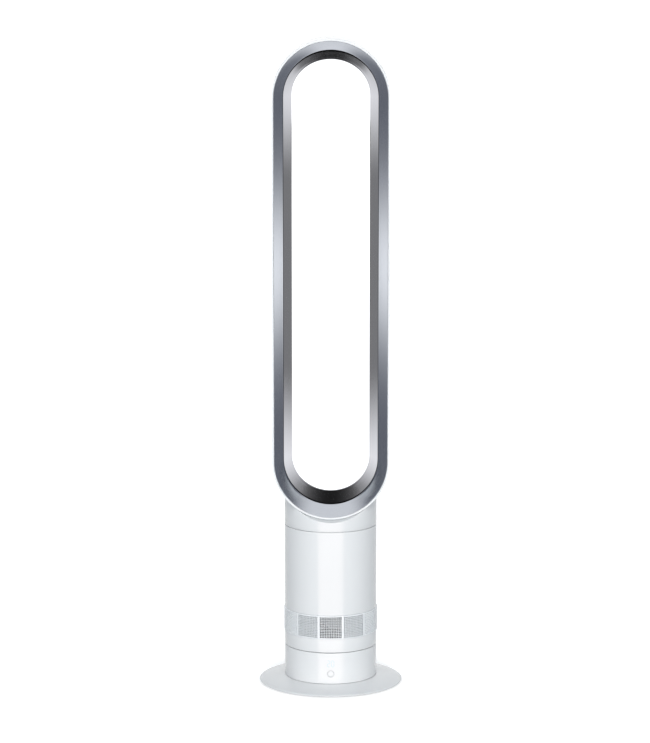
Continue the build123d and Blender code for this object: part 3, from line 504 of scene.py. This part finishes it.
def smooth_rows(rows, steps):
    """Rows joined by a smooth curve through them, with the slopes of their neighbours."""
    slopes = []
    for i in range(len(rows)):
        before, after = rows[max(i - 1, 0)], rows[min(i + 1, len(rows) - 1)]
        slopes.append([(q - p) / (after[0] - before[0]) for p, q in zip(before, after)])
    curve = []
    for i in range(len(rows) - 1):
        span = rows[i + 1][0] - rows[i][0]
        for k in range(steps):
            t = k / steps
            here, there = 2 * t ** 3 - 3 * t ** 2 + 1, 3 * t ** 2 - 2 * t ** 3
            out, into = (t ** 3 - 2 * t ** 2 + t) * span, (t ** 3 - t ** 2) * span
            curve.append([
                here * p + there * q + out * m + into * n
                for p, q, m, n in zip(rows[i], rows[i + 1], slopes[i], slopes[i + 1])
            ])
    curve.append(list(rows[-1]))
    return curve


def make_inner_casing():
    """The silver inner ring from the crease over the throat to the air slot, its front flange black: painted
    shade in the gap at the crease.
    """
    air_side = smooth_rows(AIR_SIDE, 8)
    front, tail = air_side[0], air_side[-1]
    rings = [loop_ring(*row) for row in air_side]
    for inset in (0.5, INNER_WALL - 0.5):
        rings.append(loop_ring(tail[0] + 0.25, *(offset - inset for offset in tail[1:])))
    for depth, *offsets in reversed(air_side[::2]):
        if depth > front[0] + 2:
            rings.append(loop_ring(depth, *(offset - INNER_WALL for offset in offsets)))
    first_of_flange = len(rings)
    over, under = TRIM_WALL + 0.15, TRIM_WALL + 1.5
    for depth, below in ((34.5, under), (26.0, under), (26.0, over), (front[0], over)):
        rings.append(loop_ring(*trim_line(depth, below)))
    mesh = bmesh.new()
    made = add_rings(mesh, rings)
    # Faces touching the flange get the black second material: painted shade in the crease gap.
    flange = {vertex for ring in made[first_of_flange:] for vertex in ring}
    for face in mesh.faces:
        if any(vertex in flange for vertex in face.verts):
            face.material_index = 1
    piece = new_piece("inner_ring", "upper_body", ["inner_casing"], SILVER, mesh)
    piece.data.materials.append(CREASE_PAINTED_SHADE)
    return piece


casing = make_casing()
trim = make_trim()
inner_ring = make_inner_casing()


# ---------------------------------------------------------------- neck, body shell, base housing
def make_neck():
    """The collar under the loop: a round wall whose top is hollowed to the loop's curve."""
    spigot_inside, spigot_outside, spigot_bottom = BODY_INSIDE - 2.4, BODY_INSIDE - 0.1, NECK_BOTTOM - 8
    radii = (BODY_RADIUS - NECK_EDGE, 68.0, 60.0, 52.0, 44.0, DUCT_RADIUS + 6)

    def saddle(x):
        """Height of the hollowed top at a distance across."""
        return LOWER_ARC - math.sqrt((LOOP_HALF_WIDTH + NECK_GAP) ** 2 - x ** 2)

    rings = []
    for k in range(ROUND_STEPS):
        turn = 2 * math.pi * k / ROUND_STEPS
        across = math.cos(turn)
        top = saddle(BODY_RADIUS * across)
        rise = top - NECK_EDGE - NECK_BOTTOM
        outline = [(spigot_inside, spigot_bottom), (spigot_outside, spigot_bottom)]
        outline += [(spigot_outside, NECK_BOTTOM), (BODY_RADIUS - 0.7, NECK_BOTTOM)]
        outline += [(BODY_RADIUS - 0.2, NECK_BOTTOM + 0.2), (BODY_RADIUS, NECK_BOTTOM + 0.8)]
        outline += [(BODY_RADIUS, NECK_BOTTOM + share * rise) for share in (0.3, 0.6, 1.0)]
        for inward, down in ((0.08, 0.55), (0.3, 0.22)):
            outline.append((BODY_RADIUS - NECK_EDGE * inward, top - NECK_EDGE * down))
        outline += [(radius, saddle(radius * across)) for radius in radii]
        outline += [(radius, saddle(radius * across) - NECK_WALL) for radius in reversed(radii[1:])]
        outline += [(spigot_inside, NECK_BOTTOM + 3)]
        rings.append([(r * across, r * math.sin(turn), z) for r, z in outline])
    mesh = bmesh.new()
    add_rings(mesh, rings)
    new_piece("neck_collar", "upper_body", ["loop_neck"], WHITE, mesh)


def wall_ring(mesh, outer, inner, low, high):
    """A round wall, its rims rounded more outside than inside."""
    lathe(mesh, rounded([(inner, low, 0.3), (outer, low, 0.8), (outer, high, 0.8), (inner, high, 0.3)]))


def add_bar(mesh, centre, size, turn):
    """A block standing across a radius, at an angle round the axis."""
    made = bmesh.ops.create_cube(mesh, size=1.0)
    bmesh.ops.scale(mesh, vec=Vector(size) * MM, verts=made["verts"])
    bmesh.ops.translate(mesh, vec=Vector(centre) * MM, verts=made["verts"])
    bmesh.ops.rotate(mesh, cent=(0, 0, 0), matrix=Matrix.Rotation(turn, 3, "Z"), verts=made["verts"])


def make_shell():
    """The turning body's wall: a band above the grille and one below, a ledge inside, and upright ribs."""
    mesh = bmesh.new()
    wall_ring(mesh, BODY_RADIUS, BODY_INSIDE, BODY_BOTTOM, GRILLE_BOTTOM - GRILLE_GAP)
    wall_ring(mesh, BODY_RADIUS, BODY_INSIDE, GRILLE_TOP + GRILLE_GAP, BODY_TOP)
    wall_ring(mesh, BODY_INSIDE + 0.5, LEDGE_INSIDE, LEDGE_BOTTOM, LEDGE_TOP)
    sector = 2 * math.pi / GRILLE_SECTORS
    for k in range(GRILLE_SECTORS):
        add_bar(mesh, (RIB_PLACE, 0, GRILLE_MIDDLE), RIB_SIZE, (k + 0.5) * sector)
    new_piece("body_wall", "upper_body", ["body_shell"], WHITE, mesh)


def make_housing():
    """The fixed base's wall, with its holes for the button's ring and the lead."""
    mesh = bmesh.new()
    wall_ring(mesh, BODY_RADIUS, BODY_INSIDE, HOUSING_BOTTOM, BASE_TOP)
    piece = new_piece("base_wall", "base", ["base_housing"], WHITE, mesh)
    cut_round_hole(piece, BEZEL_RADIUS, -BODY_RADIUS, BUTTON_HEIGHT)
    cut_round_hole(piece, GLAND_RADIUS, BODY_RADIUS, GLAND_HEIGHT)


def cut_round_hole(piece, radius, y, height):
    """Cuts a round hole through a wall, along Y."""
    mesh = bmesh.new()
    bmesh.ops.create_cone(mesh, cap_ends=True, segments=CUTTER_STEPS, radius1=radius * MM,
                          radius2=radius * MM, depth=CUTTER_LENGTH * MM)
    bmesh.ops.rotate(mesh, cent=(0, 0, 0), matrix=Matrix.Rotation(math.pi / 2, 3, "X"), verts=mesh.verts)
    bmesh.ops.translate(mesh, vec=Vector((0, y, height)) * MM, verts=mesh.verts)
    data = bpy.data.meshes.new("hole")
    mesh.to_mesh(data)
    mesh.free()
    cutter = bpy.data.objects.new("hole", data)
    bpy.context.scene.collection.objects.link(cutter)
    modifier = piece.modifiers.new("hole", "BOOLEAN")
    modifier.operation = "DIFFERENCE"
    modifier.solver = "EXACT"
    modifier.object = cutter
    bpy.context.view_layer.update()
    evaluated = piece.evaluated_get(bpy.context.evaluated_depsgraph_get())
    cut_mesh = bpy.data.meshes.new_from_object(evaluated)
    piece.modifiers.clear()
    piece.data = cut_mesh
    piece.data.set_sharp_from_angle(angle=math.radians(SHARP_ANGLE))
    bpy.data.objects.remove(cutter)


make_neck()
make_shell()
make_housing()


# ---------------------------------------------------------------- base plate
def plate_under(radius):
    """Height of the plate's underside at a distance from the middle."""
    share = min(max((radius - PLATE_FLAT_INSIDE) / (PLATE_RIM_INSIDE - PLATE_FLAT_INSIDE), 0), 1)
    return PLATE_UNDER * (1 - share) + PLATE_RIM_UNDER * share


def make_plate():
    """The round plate: a gently domed top, a rim that rolls under, and ribs and foot bosses underneath."""
    edge = PLATE_RADIUS - 2.2
    flat = BODY_RADIUS + 1.5
    outline = rounded([
        (0.0, PLATE_TOP, 0), (flat, PLATE_TOP, 10.0), (edge, PLATE_RIM_TOP, 4.0),
        (PLATE_RADIUS, PLATE_RIM_TOP - 1.5, 0.9), (PLATE_RADIUS - 0.2, PLATE_RIM_TOP - 2.1, 1.2),
        (PLATE_RADIUS - 1.5, PLATE_RIM_BOTTOM, 0.8), (PLATE_RADIUS - 2.6, PLATE_RIM_BOTTOM, 0.3),
        (PLATE_RIM_INSIDE, PLATE_RIM_UNDER, 0.3), (PLATE_FLAT_INSIDE, PLATE_UNDER, 2.0),
        (0.0, PLATE_UNDER, 0),
    ], steps=6)
    mesh = bmesh.new()
    lathe(mesh, outline)
    for k in range(FOOT_COUNT):
        turn = 2 * math.pi * k / FOOT_COUNT
        add_rib(mesh, turn + math.pi / FOOT_COUNT)
        boss = bmesh.ops.create_cone(mesh, cap_ends=True, segments=BOSS_STEPS, depth=BOSS_TALL * MM,
                                     radius1=(FOOT_RADIUS + 1.6) * MM, radius2=(FOOT_RADIUS + 0.8) * MM)
        place = Vector((FOOT_CIRCLE * math.cos(turn), FOOT_CIRCLE * math.sin(turn), BOSS_MIDDLE)) * MM
        bmesh.ops.translate(mesh, vec=place, verts=boss["verts"])
    new_piece("floor_plate", "base", ["base_plate"], WHITE, mesh)


def add_rib(mesh, turn):
    """An upright rib under the plate, from near its middle to its rim."""
    reach = (6.0, PLATE_FLAT_INSIDE, PLATE_RADIUS - 4.0)
    half_wide, low, low_at_rim = 1.0, 2.6, 2.0
    outline = [(reach[0], low), (reach[2], low_at_rim)]
    outline += [(radius, plate_under(radius) + 0.3) for radius in reversed(reach)]
    turned = Matrix.Rotation(turn, 3, "Z")
    sides = []
    for y in (-half_wide, half_wide):
        sides.append([mesh.verts.new(turned @ (Vector((x, y, z)) * MM)) for x, z in outline])
    for side in sides:
        mesh.faces.new(side)
    for k in range(len(outline)):
        n = (k + 1) % len(outline)
        mesh.faces.new((sides[0][k], sides[0][n], sides[1][n], sides[1][k]))


make_plate()


# ---------------------------------------------------------------- intake grille
# the rim of a cell in thirds of its sides, counter-clockwise from its lower left corner
CELL_RIM = [(0, 0), (1, 0), (2, 0), (3, 0), (3, 1), (3, 2), (3, 3), (2, 3), (1, 3), (0, 3), (0, 2), (0, 1)]


def make_grille():
    """A perforated band in sectors. The holes of a sector all run parallel, as a mould makes them."""
    columns, rows = GRILLE_COLUMNS, GRILLE_ROWS
    first_row = GRILLE_MIDDLE - rows * CELL_TALL / 2
    half_wide = columns * CELL_WIDE / 2
    wide_step, tall_step = CELL_WIDE / 3, CELL_TALL / 3
    faces_at = (GRILLE_RADIUS, GRILLE_INSIDE)
    mesh = bmesh.new()
    kept = {}

    def vertex(sector, across, height, radius):
        """The one vertex at a distance across a sector, a height and a radius."""
        key = (sector, round(across, 3), round(height, 3), radius)
        if key not in kept:
            turn = 2 * math.pi * sector / GRILLE_SECTORS - math.pi / 2
            out = math.sqrt(radius ** 2 - across ** 2)
            x = out * math.cos(turn) - across * math.sin(turn)
            y = out * math.sin(turn) + across * math.cos(turn)
            kept[key] = mesh.verts.new(Vector((x, y, height)) * MM)
        return kept[key]

    def square(column, row):
        """The cell's rim points."""
        left = -half_wide + column * CELL_WIDE
        low = first_row + row * CELL_TALL
        return [(left + a * wide_step, low + b * tall_step) for a, b in CELL_RIM]

    def circle(column, row):
        """The hole, its corners facing the cell's rim points."""
        x, z = -half_wide + (column + 0.5) * CELL_WIDE, first_row + (row + 0.5) * CELL_TALL
        angles = [math.radians(225 + 360 * k / HOLE_CORNERS) for k in range(HOLE_CORNERS)]
        return [(x + HOLE_RADIUS * math.cos(a), z + HOLE_RADIUS * math.sin(a)) for a in angles]

    def fill_cell(sector, rim, bore):
        """The wall round a hole, outside and inside, and the hole's own wall."""
        for k in range(HOLE_CORNERS):
            n = (k + 1) % HOLE_CORNERS
            for radius in faces_at:
                mesh.faces.new([vertex(sector, *p, radius) for p in (rim[k], rim[n], bore[n], bore[k])])
            mesh.faces.new([
                vertex(sector, *bore[k], GRILLE_RADIUS), vertex(sector, *bore[n], GRILLE_RADIUS),
                vertex(sector, *bore[n], GRILLE_INSIDE), vertex(sector, *bore[k], GRILLE_INSIDE),
            ])

    def fill_strip(sector):
        """The plain strip between a sector and the next."""
        after = (sector + 1) % GRILLE_SECTORS
        for k in range(rows * 3):
            low, high = first_row + k * tall_step, first_row + (k + 1) * tall_step
            for radius in faces_at:
                mesh.faces.new([
                    vertex(sector, half_wide, low, radius), vertex(after, -half_wide, low, radius),
                    vertex(after, -half_wide, high, radius), vertex(sector, half_wide, high, radius),
                ])

    for sector in range(GRILLE_SECTORS):
        for column in range(columns):
            for row in range(rows):
                fill_cell(sector, square(column, row), circle(column, row))
        fill_strip(sector)

    def round_points(height, radius):
        """The vertices all the way round at a height and a radius."""
        ring = []
        for sector in range(GRILLE_SECTORS):
            across = [-half_wide + k * wide_step for k in range(columns * 3 + 1)]
            ring += [vertex(sector, x, height, radius) for x in across]
        return ring

    soft = 0.5
    for edge, rim, way in ((first_row, GRILLE_BOTTOM, 1), (first_row + rows * CELL_TALL, GRILLE_TOP, -1)):
        levels = [
            (edge, GRILLE_RADIUS), (rim + way * soft, GRILLE_RADIUS),
            (rim + way * soft * 0.3, GRILLE_RADIUS - soft * 0.3), (rim, GRILLE_RADIUS - soft),
            (rim, GRILLE_INSIDE), (edge, GRILLE_INSIDE),
        ]
        rings = [round_points(*level) for level in levels]
        for lower, upper in zip(rings, rings[1:]):
            for k in range(len(lower)):
                n = (k + 1) % len(lower)
                mesh.faces.new((lower[k], lower[n], upper[n], upper[k]))
    # The grille's lighter white is painted light.
    new_piece("grille_band", "upper_body", ["intake_grille"], WHITE_PAINTED_LIGHTER, mesh, sharp=50)


make_grille()


# ---------------------------------------------------------------- button and display
def on_wall(x, z, depth=0.0):
    """Point on the base's front wall, or a depth behind it."""
    return x, -math.sqrt((BODY_RADIUS - depth) ** 2 - x ** 2), z


def button_rings(section):
    """A (radius, depth) section turned about the button's middle, curved to the wall."""
    rings = []
    for k in range(BUTTON_STEPS):
        turn = 2 * math.pi * k / BUTTON_STEPS
        rings.append([
            on_wall(r * math.cos(turn), BUTTON_HEIGHT + r * math.sin(turn), depth) for r, depth in section
        ])
    return rings


def make_bezel():
    """The thin grey ring round the button, curved to the wall."""
    outer, inner, deep = BEZEL_RADIUS, BEZEL_INSIDE, 1.5
    section = [(outer, deep), (outer, 0.0), (outer - 0.06, -0.1), (outer - 0.2, -0.15)]
    section += [(inner + 0.2, -0.15), (inner + 0.06, -0.1), (inner, 0.0), (inner, deep)]
    mesh = bmesh.new()
    add_rings(mesh, button_rings(section))
    new_piece("button_ring", "base", ["button_bezel"], SLOT_MATERIALS["grey_ring"], mesh)


def make_button():
    """The press button: a cap level with the wall, a collar behind it, and its stem."""
    rim = BUTTON_RADIUS
    cap = [(0.0, 0.12), (1.5, 0.11), (3.0, 0.06), (rim - 0.6, 0.0), (rim - 0.25, 0.03), (rim - 0.07, 0.15)]
    cap += [(rim, 0.4), (rim, COLLAR_FRONT), (COLLAR_RADIUS, COLLAR_FRONT), (COLLAR_RADIUS, COLLAR_BACK)]
    cap += [(0.0, COLLAR_BACK)]
    mesh = bmesh.new()
    add_rings(mesh, button_rings(cap), close_points=False)
    stem = bmesh.ops.create_cube(mesh, size=STEM_SIDE * MM)
    bmesh.ops.translate(mesh, vec=Vector((0, STEM_PLACE, BUTTON_HEIGHT)) * MM, verts=stem["verts"])
    new_piece("press_button", "button", ["power_button"], WHITE, mesh)


# bars of a seven-segment digit: across and up in halves of the digit, and whether the bar is upright
SEGMENTS = {
    "top": (0, 1, False), "middle": (0, 0, False), "bottom": (0, -1, False),
    "upper_left": (-1, 0.5, True), "upper_right": (1, 0.5, True),
    "lower_left": (-1, -0.5, True), "lower_right": (1, -0.5, True),
}
# the lit bars of each digit, by its distance from the middle in digit pitches
DIGITS = {
    -0.5: ("top", "upper_right", "middle", "lower_left", "bottom"),
    0.5: ("top", "upper_left", "upper_right", "lower_left", "lower_right", "bottom"),
}


def make_digits():
    """Two seven-segment digits, their bars pointed at the ends and all but level with the wall."""
    half_wide = (DIGIT_WIDE - SEGMENT_WIDTH) / 2
    half_tall = (DIGIT_TALL - SEGMENT_WIDTH) / 2
    mesh = bmesh.new()
    for column, lit in DIGITS.items():
        for name in lit:
            across, up, upright = SEGMENTS[name]
            middle = (column * DIGIT_PITCH + across * half_wide, DIGITS_HEIGHT + up * half_tall)
            long = (half_tall if upright else 2 * half_wide) / 2 - SEGMENT_GAP
            thick = SEGMENT_WIDTH / 2
            even = long - thick
            flat = [(-long, 0), (-even, -thick), (even, -thick), (long, 0), (even, thick), (-even, thick)]
            if upright:
                flat = [(b, a) for a, b in flat]
            face = [(middle[0] + a, middle[1] + b) for a, b in flat]
            front = [mesh.verts.new(Vector(on_wall(x, z, -SEGMENT_PROUD)) * MM) for x, z in face]
            back = [mesh.verts.new(Vector(on_wall(x, z, SEGMENT_DEPTH)) * MM) for x, z in face]
            mesh.faces.new(front)
            mesh.faces.new(back)
            for k in range(len(face)):
                n = (k + 1) % len(face)
                mesh.faces.new((front[k], front[n], back[n], back[k]))
    new_piece("digit_bars", "base", ["display_digits"], SLOT_MATERIALS["cyan_digits"], mesh)


make_bezel()
make_button()
make_digits()


# ---------------------------------------------------------------- floor, light, backdrop
# half the floor's side, in metres
FLOOR_HALF = 30.0
# the world's part in diffuse light, as red, green and blue
AMBIENT = (0.052, 0.082, 0.108)
SUN_SPREAD = 50
# corners in metres, lowest first: of the cards behind the loop as x and z, of those across it as x and y
BEHIND = (-0.24, 0.27), (0.24, 0.97)
BELOW = (-0.18, -0.05), (0.18, 0.118)
# how much the silver reflects: a card's strength is divided by it, to give the level that it shows
METAL = 0.75
BEVEL_TINT = (0.985, 1.0, 1.01)
SHADE_TINT = (0.93, 1.0, 1.2)


def link_new(name, data):
    """An object for some data, in the scene."""
    thing = bpy.data.objects.new(name, data)
    bpy.context.scene.collection.objects.link(thing)
    return thing


def flat_sheet(name, corners, material):
    """A single flat face of the stage, corners in metres."""
    mesh = bpy.data.meshes.new(name)
    mesh.from_pydata(corners, [], [tuple(range(len(corners)))])
    mesh.materials.append(material)
    sheet = link_new(name, mesh)
    sheet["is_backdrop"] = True
    return sheet


def upright_sheet(name, y, low, high, material):
    """A stage card facing the front, from one (x, z) corner to the other."""
    corners = [(low[0], y, low[1]), (high[0], y, low[1]), (high[0], y, high[1]), (low[0], y, high[1])]
    return flat_sheet(name, corners, material)


def level_sheet(name, z, low, high, material):
    """A stage card facing down, from one (x, y) corner to the other."""
    corners = [(low[0], high[1], z), (high[0], high[1], z), (high[0], low[1], z), (low[0], low[1], z)]
    return flat_sheet(name, corners, material)


def show_only_in_gloss(card, pieces=None):
    """Leaves a stage card to reflections alone, and if pieces are given to theirs."""
    card.visible_camera = False
    card.visible_diffuse = False
    card.visible_transmission = False
    card.visible_volume_scatter = False
    card.visible_shadow = False
    if pieces:
        receivers = bpy.data.collections.new(card.name + "_receivers")
        for piece in pieces:
            receivers.objects.link(piece)
        card.light_linking.receiver_collection = receivers


def all_but_silver():
    """The object's pieces apart from the bevel and the inner ring."""
    return [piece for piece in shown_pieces() if piece not in (trim, inner_ring)]


class Reckoner:
    """Sums with a stage card's place, made of Math nodes."""

    def __init__(self, name):
        self.material = bpy.data.materials.new(name)
        self.material.use_nodes = True
        self.tree = self.material.node_tree
        self.tree.nodes.clear()
        where = self.tree.nodes.new("ShaderNodeTexCoord").outputs["Object"]
        split = self.tree.nodes.new("ShaderNodeSeparateXYZ")
        self.tree.links.new(where, split.inputs["Vector"])
        self.x, self.y, self.z = (split.outputs[axis] for axis in "XYZ")
        self.aside = self.reckon("ABSOLUTE", self.x)

    def reckon(self, operation, *values):
        """The result of a Math node fed with numbers or sockets."""
        node = self.tree.nodes.new("ShaderNodeMath")
        node.operation = operation
        for value, socket in zip(values, node.inputs):
            if isinstance(value, (int, float)):
                socket.default_value = value
            else:
                self.tree.links.new(value, socket)
        return node.outputs["Value"]

    def fade(self, value, zero, one):
        """Smooth step from 0 to 1 between two values, in either order."""
        node = self.tree.nodes.new("ShaderNodeMapRange")
        node.interpolation_type = "SMOOTHSTEP"
        low, high = min(zero, one), max(zero, one)
        node.inputs["From Min"].default_value = low
        node.inputs["From Max"].default_value = high
        node.inputs["To Min"].default_value = 0.0 if zero < one else 1.0
        node.inputs["To Max"].default_value = 1.0 if zero < one else 0.0
        self.tree.links.new(value, node.inputs["Value"])
        return node.outputs["Result"]

    def hill(self, value, middle, width):
        """A bell curve of height 1."""
        away = self.reckon("DIVIDE", self.reckon("SUBTRACT", value, middle), width)
        return self.reckon("EXPONENT", self.times(away, away, -1.0))

    def add(self, *terms):
        """The sum of numbers or sockets."""
        total = terms[0]
        for term in terms[1:]:
            total = self.reckon("ADD", total, term)
        return total

    def times(self, *factors):
        """The product of numbers or sockets."""
        product = factors[0]
        for factor in factors[1:]:
            product = self.reckon("MULTIPLY", product, factor)
        return product

    def blend(self, share, first, second):
        """One shader passing into another as share goes from 0 to 1."""
        mix = self.tree.nodes.new("ShaderNodeMixShader")
        self.tree.links.new(share, mix.inputs["Fac"])
        self.tree.links.new(first, mix.inputs[1])
        self.tree.links.new(second, mix.inputs[2])
        return mix.outputs["Shader"]

    def emission(self, strength, colour=(1, 1, 1)):
        """A plain glow; a strength of 0 is black cloth."""
        shader = self.tree.nodes.new("ShaderNodeEmission")
        shader.inputs["Color"].default_value = (*colour, 1)
        if isinstance(strength, (int, float)):
            shader.inputs["Strength"].default_value = strength
        else:
            self.tree.links.new(strength, shader.inputs["Strength"])
        return shader.outputs["Emission"]

    def clear(self):
        """Lets all light through."""
        return self.tree.nodes.new("ShaderNodeBsdfTransparent").outputs["BSDF"]

    def both(self, first, second):
        """The sum of two shaders."""
        sum_shader = self.tree.nodes.new("ShaderNodeAddShader")
        self.tree.links.new(first, sum_shader.inputs[0])
        self.tree.links.new(second, sum_shader.inputs[1])
        return sum_shader.outputs["Shader"]

    def glow_over(self, strength, colour=(1, 1, 1)):
        """Light added to what lies behind the card."""
        return self.both(self.clear(), self.emission(strength, colour))

    def finish(self, surface, front_only=False):
        """The material, ending in a shader and clear from behind if it faces one way only."""
        if front_only:
            facing = self.tree.nodes.new("ShaderNodeNewGeometry").outputs["Backfacing"]
            surface = self.blend(facing, surface, self.clear())
        output = self.tree.nodes.new("ShaderNodeOutputMaterial")
        self.tree.links.new(surface, output.inputs["Surface"])
        return self.material


def make_floor():
    """A plain white floor that keeps the object's shadow, its glow for the camera weaker near the plate."""
    sums = Reckoner("floor_paint")
    paint = sums.tree.nodes.new("ShaderNodeBsdfDiffuse")
    paint.inputs["Color"].default_value = (0.8, 0.8, 0.8, 1)
    seen = sums.tree.nodes.new("ShaderNodeLightPath").outputs["Is Camera Ray"]
    radius = sums.reckon("SQRT", sums.add(sums.times(sums.x, sums.x), sums.times(sums.y, sums.y)))
    glow = sums.add(sums.times(sums.fade(radius, 0.112, 0.22), 0.48), 0.52)
    material = sums.finish(sums.both(paint.outputs["BSDF"], sums.emission(sums.times(glow, seen))))
    corners = [(x * FLOOR_HALF, y * FLOOR_HALF, 0) for x, y in ((-1, -1), (1, -1), (1, 1), (-1, 1))]
    flat_sheet("floor", corners, material).visible_glossy = False


def make_world(ambient):
    """White to the camera and in reflections, and a plain soft light, a little cool, for everything else."""
    world = bpy.data.worlds.new("world")
    bpy.context.scene.world = world
    world.use_nodes = True
    tree = world.node_tree
    background = tree.nodes["Background"]
    path = tree.nodes.new("ShaderNodeLightPath")
    seen = path.outputs["Is Camera Ray"]
    for kind in ("Is Glossy Ray", "Is Transmission Ray"):
        most = tree.nodes.new("ShaderNodeMath")
        most.operation = "MAXIMUM"
        tree.links.new(seen, most.inputs[0])
        tree.links.new(path.outputs[kind], most.inputs[1])
        seen = most.outputs["Value"]
    level = mixed_colour(tree, seen, ambient, (1, 1, 1))
    tree.links.new(level, background.inputs["Color"])
    background.inputs["Strength"].default_value = 1.0


def add_soft_sun(name, azimuth, elevation, strength):
    """Soft even light from a direction, in degrees; azimuth 0 is the front."""
    data = bpy.data.lights.new(name, "SUN")
    data.energy = strength
    data.angle = math.radians(SUN_SPREAD)
    lamp = link_new(name, data)
    lamp.rotation_euler = (math.radians(90 - elevation), 0, math.radians(azimuth))
    lamp.visible_glossy = False


def card_behind(name, y, material, pieces=None):
    """An upright stage card behind the loop, y in millimetres, for the pieces' reflections."""
    show_only_in_gloss(upright_sheet(name, y * MM, *BEHIND, material), pieces)


def card_below(name, z, material, pieces=None):
    """A level stage card across the loop, z in millimetres, facing down, for the pieces' reflections."""
    show_only_in_gloss(level_sheet(name, z * MM, *BELOW, material), pieces)


def make_bevel_glow():
    """What the front bevel mirrors: a soft light half way up and a narrow one at the top, over a faint blue."""
    sums = Reckoner("bevel_glow")
    middle = sums.times(sums.hill(sums.z, 0.626, 0.127), sums.fade(sums.aside, 0.150, 0.125), 0.60 / METAL)
    top = sums.times(sums.fade(sums.aside, 0.064, 0.010), sums.fade(sums.z, 0.74, 0.80), 0.43 / METAL)
    corner = sums.times(sums.fade(sums.aside, 0.120, 0.145), sums.fade(sums.z, 0.52, 0.46), -0.025)
    shade = sums.emission(sums.times(sums.add(corner, 0.112), 1 / METAL), SHADE_TINT)
    light = sums.both(sums.glow_over(sums.add(middle, top), BEVEL_TINT), shade)
    card_behind("bevel_glow", 118, sums.finish(light, front_only=True), [trim])

    sums = Reckoner("bevel_glow_below")
    middle = sums.times(sums.fade(sums.aside, 0.16, 0.04), 0.46 / METAL)
    light = sums.both(sums.glow_over(middle, BEVEL_TINT), sums.emission(0.11 / METAL, SHADE_TINT))
    card_below("bevel_glow_below", 449, sums.finish(light, front_only=True), [trim])


def make_ring_glow():
    """What the inner ring mirrors: light at its shoulders, and dark at the top and bottom."""
    sums = Reckoner("ring_glow")
    upper = sums.times(sums.fade(sums.z, 0.765, 0.92), 0.52)
    lower = sums.times(sums.fade(sums.z, 0.475, 0.29), 0.60)
    beside, above = sums.fade(sums.aside, 0.038, 0.050), sums.fade(sums.z, 0.852, 0.872)
    shoulders = sums.reckon("MAXIMUM", sums.reckon("MAXIMUM", beside, above), sums.fade(sums.z, 0.80, 0.77))
    bright = sums.times(shoulders, sums.add(upper, lower, 0.155))
    dim = sums.times(sums.reckon("SUBTRACT", 1.0, shoulders), sums.fade(sums.aside, 0.008, 0.034), 0.08)
    strength = sums.times(sums.add(bright, dim, 0.015), 1 / METAL)
    light = sums.glow_over(strength, (1.01, 1.0, 1.02))
    card_behind("ring_glow", 119, sums.finish(light, front_only=True), [inner_ring])

    sums = Reckoner("ring_glow_below")
    strength = sums.times(sums.add(sums.times(sums.x, sums.x, 12.8), 0.01), 1 / METAL)
    light = sums.glow_over(strength, (1.02, 1.0, 1.01))
    card_below("ring_glow_below", 449.5, sums.finish(light, front_only=True), [inner_ring])


def behind_share(sums):
    """Share of cloth behind the loop: 1, and fading to 0 at the card's edges."""
    return sums.times(sums.fade(sums.aside, 0.24, 0.21), sums.fade(sums.z, 0.27, 0.30),
                      sums.fade(sums.z, 0.97, 0.93))


def below_share(sums):
    """Share of cloth across the loop: 1, and fading to 0 at the card's sides."""
    return sums.fade(sums.aside, 0.18, 0.175)


def make_flags():
    """Dark cloth behind those lights, soft at its edges, and as white as the room to all but the silver."""
    for name, place, distance, share_of in (("flag_behind", card_behind, 125, behind_share),
                                            ("flag_below", card_below, 450, below_share)):
        sums = Reckoner(name)
        cloth = sums.blend(share_of(sums), sums.clear(), sums.emission(0.0))
        place(name, distance, sums.finish(cloth, front_only=True))
        sums = Reckoner(name + "_fill")
        fill = sums.glow_over(share_of(sums))
        place(name + "_fill", distance - 2, sums.finish(fill, front_only=True), all_but_silver())


def make_crown_glow():
    """A weak light far behind the loop, mirrored at a glance by the top of its casing."""
    sums = Reckoner("crown_glow")
    share = sums.times(sums.fade(sums.aside, 0.30, 0.20), sums.fade(sums.z, 0.80, 0.95), 0.22)
    card = upright_sheet("crown_glow", 0.6, (-0.3, 0.8), (0.3, 1.3), sums.finish(sums.glow_over(share)))
    show_only_in_gloss(card, [casing])


def make_strip():
    """The tall light whose reflection runs down the middle of the body."""
    sums = Reckoner("strip_light")
    strength = sums.times(sums.fade(sums.aside, 1.56, 1.44), 1.7)
    material = sums.finish(sums.glow_over(strength, (1.3, 1.03, 0.92)))
    card = upright_sheet("strip_light", -2.5, (-1.6, -3.0), (1.6, 3.0), material)
    show_only_in_gloss(card, all_but_silver())


make_floor()
make_world(AMBIENT)
add_soft_sun("front_light", azimuth=0, elevation=28, strength=2.68)
for name, azimuth in (("back_light_left", 165), ("back_light_right", -165)):
    add_soft_sun(name, azimuth, elevation=6, strength=1.3)
make_bevel_glow()
make_ring_glow()
make_flags()
make_crown_glow()
make_strip()

bpy.context.scene.view_settings.view_transform = "Standard"
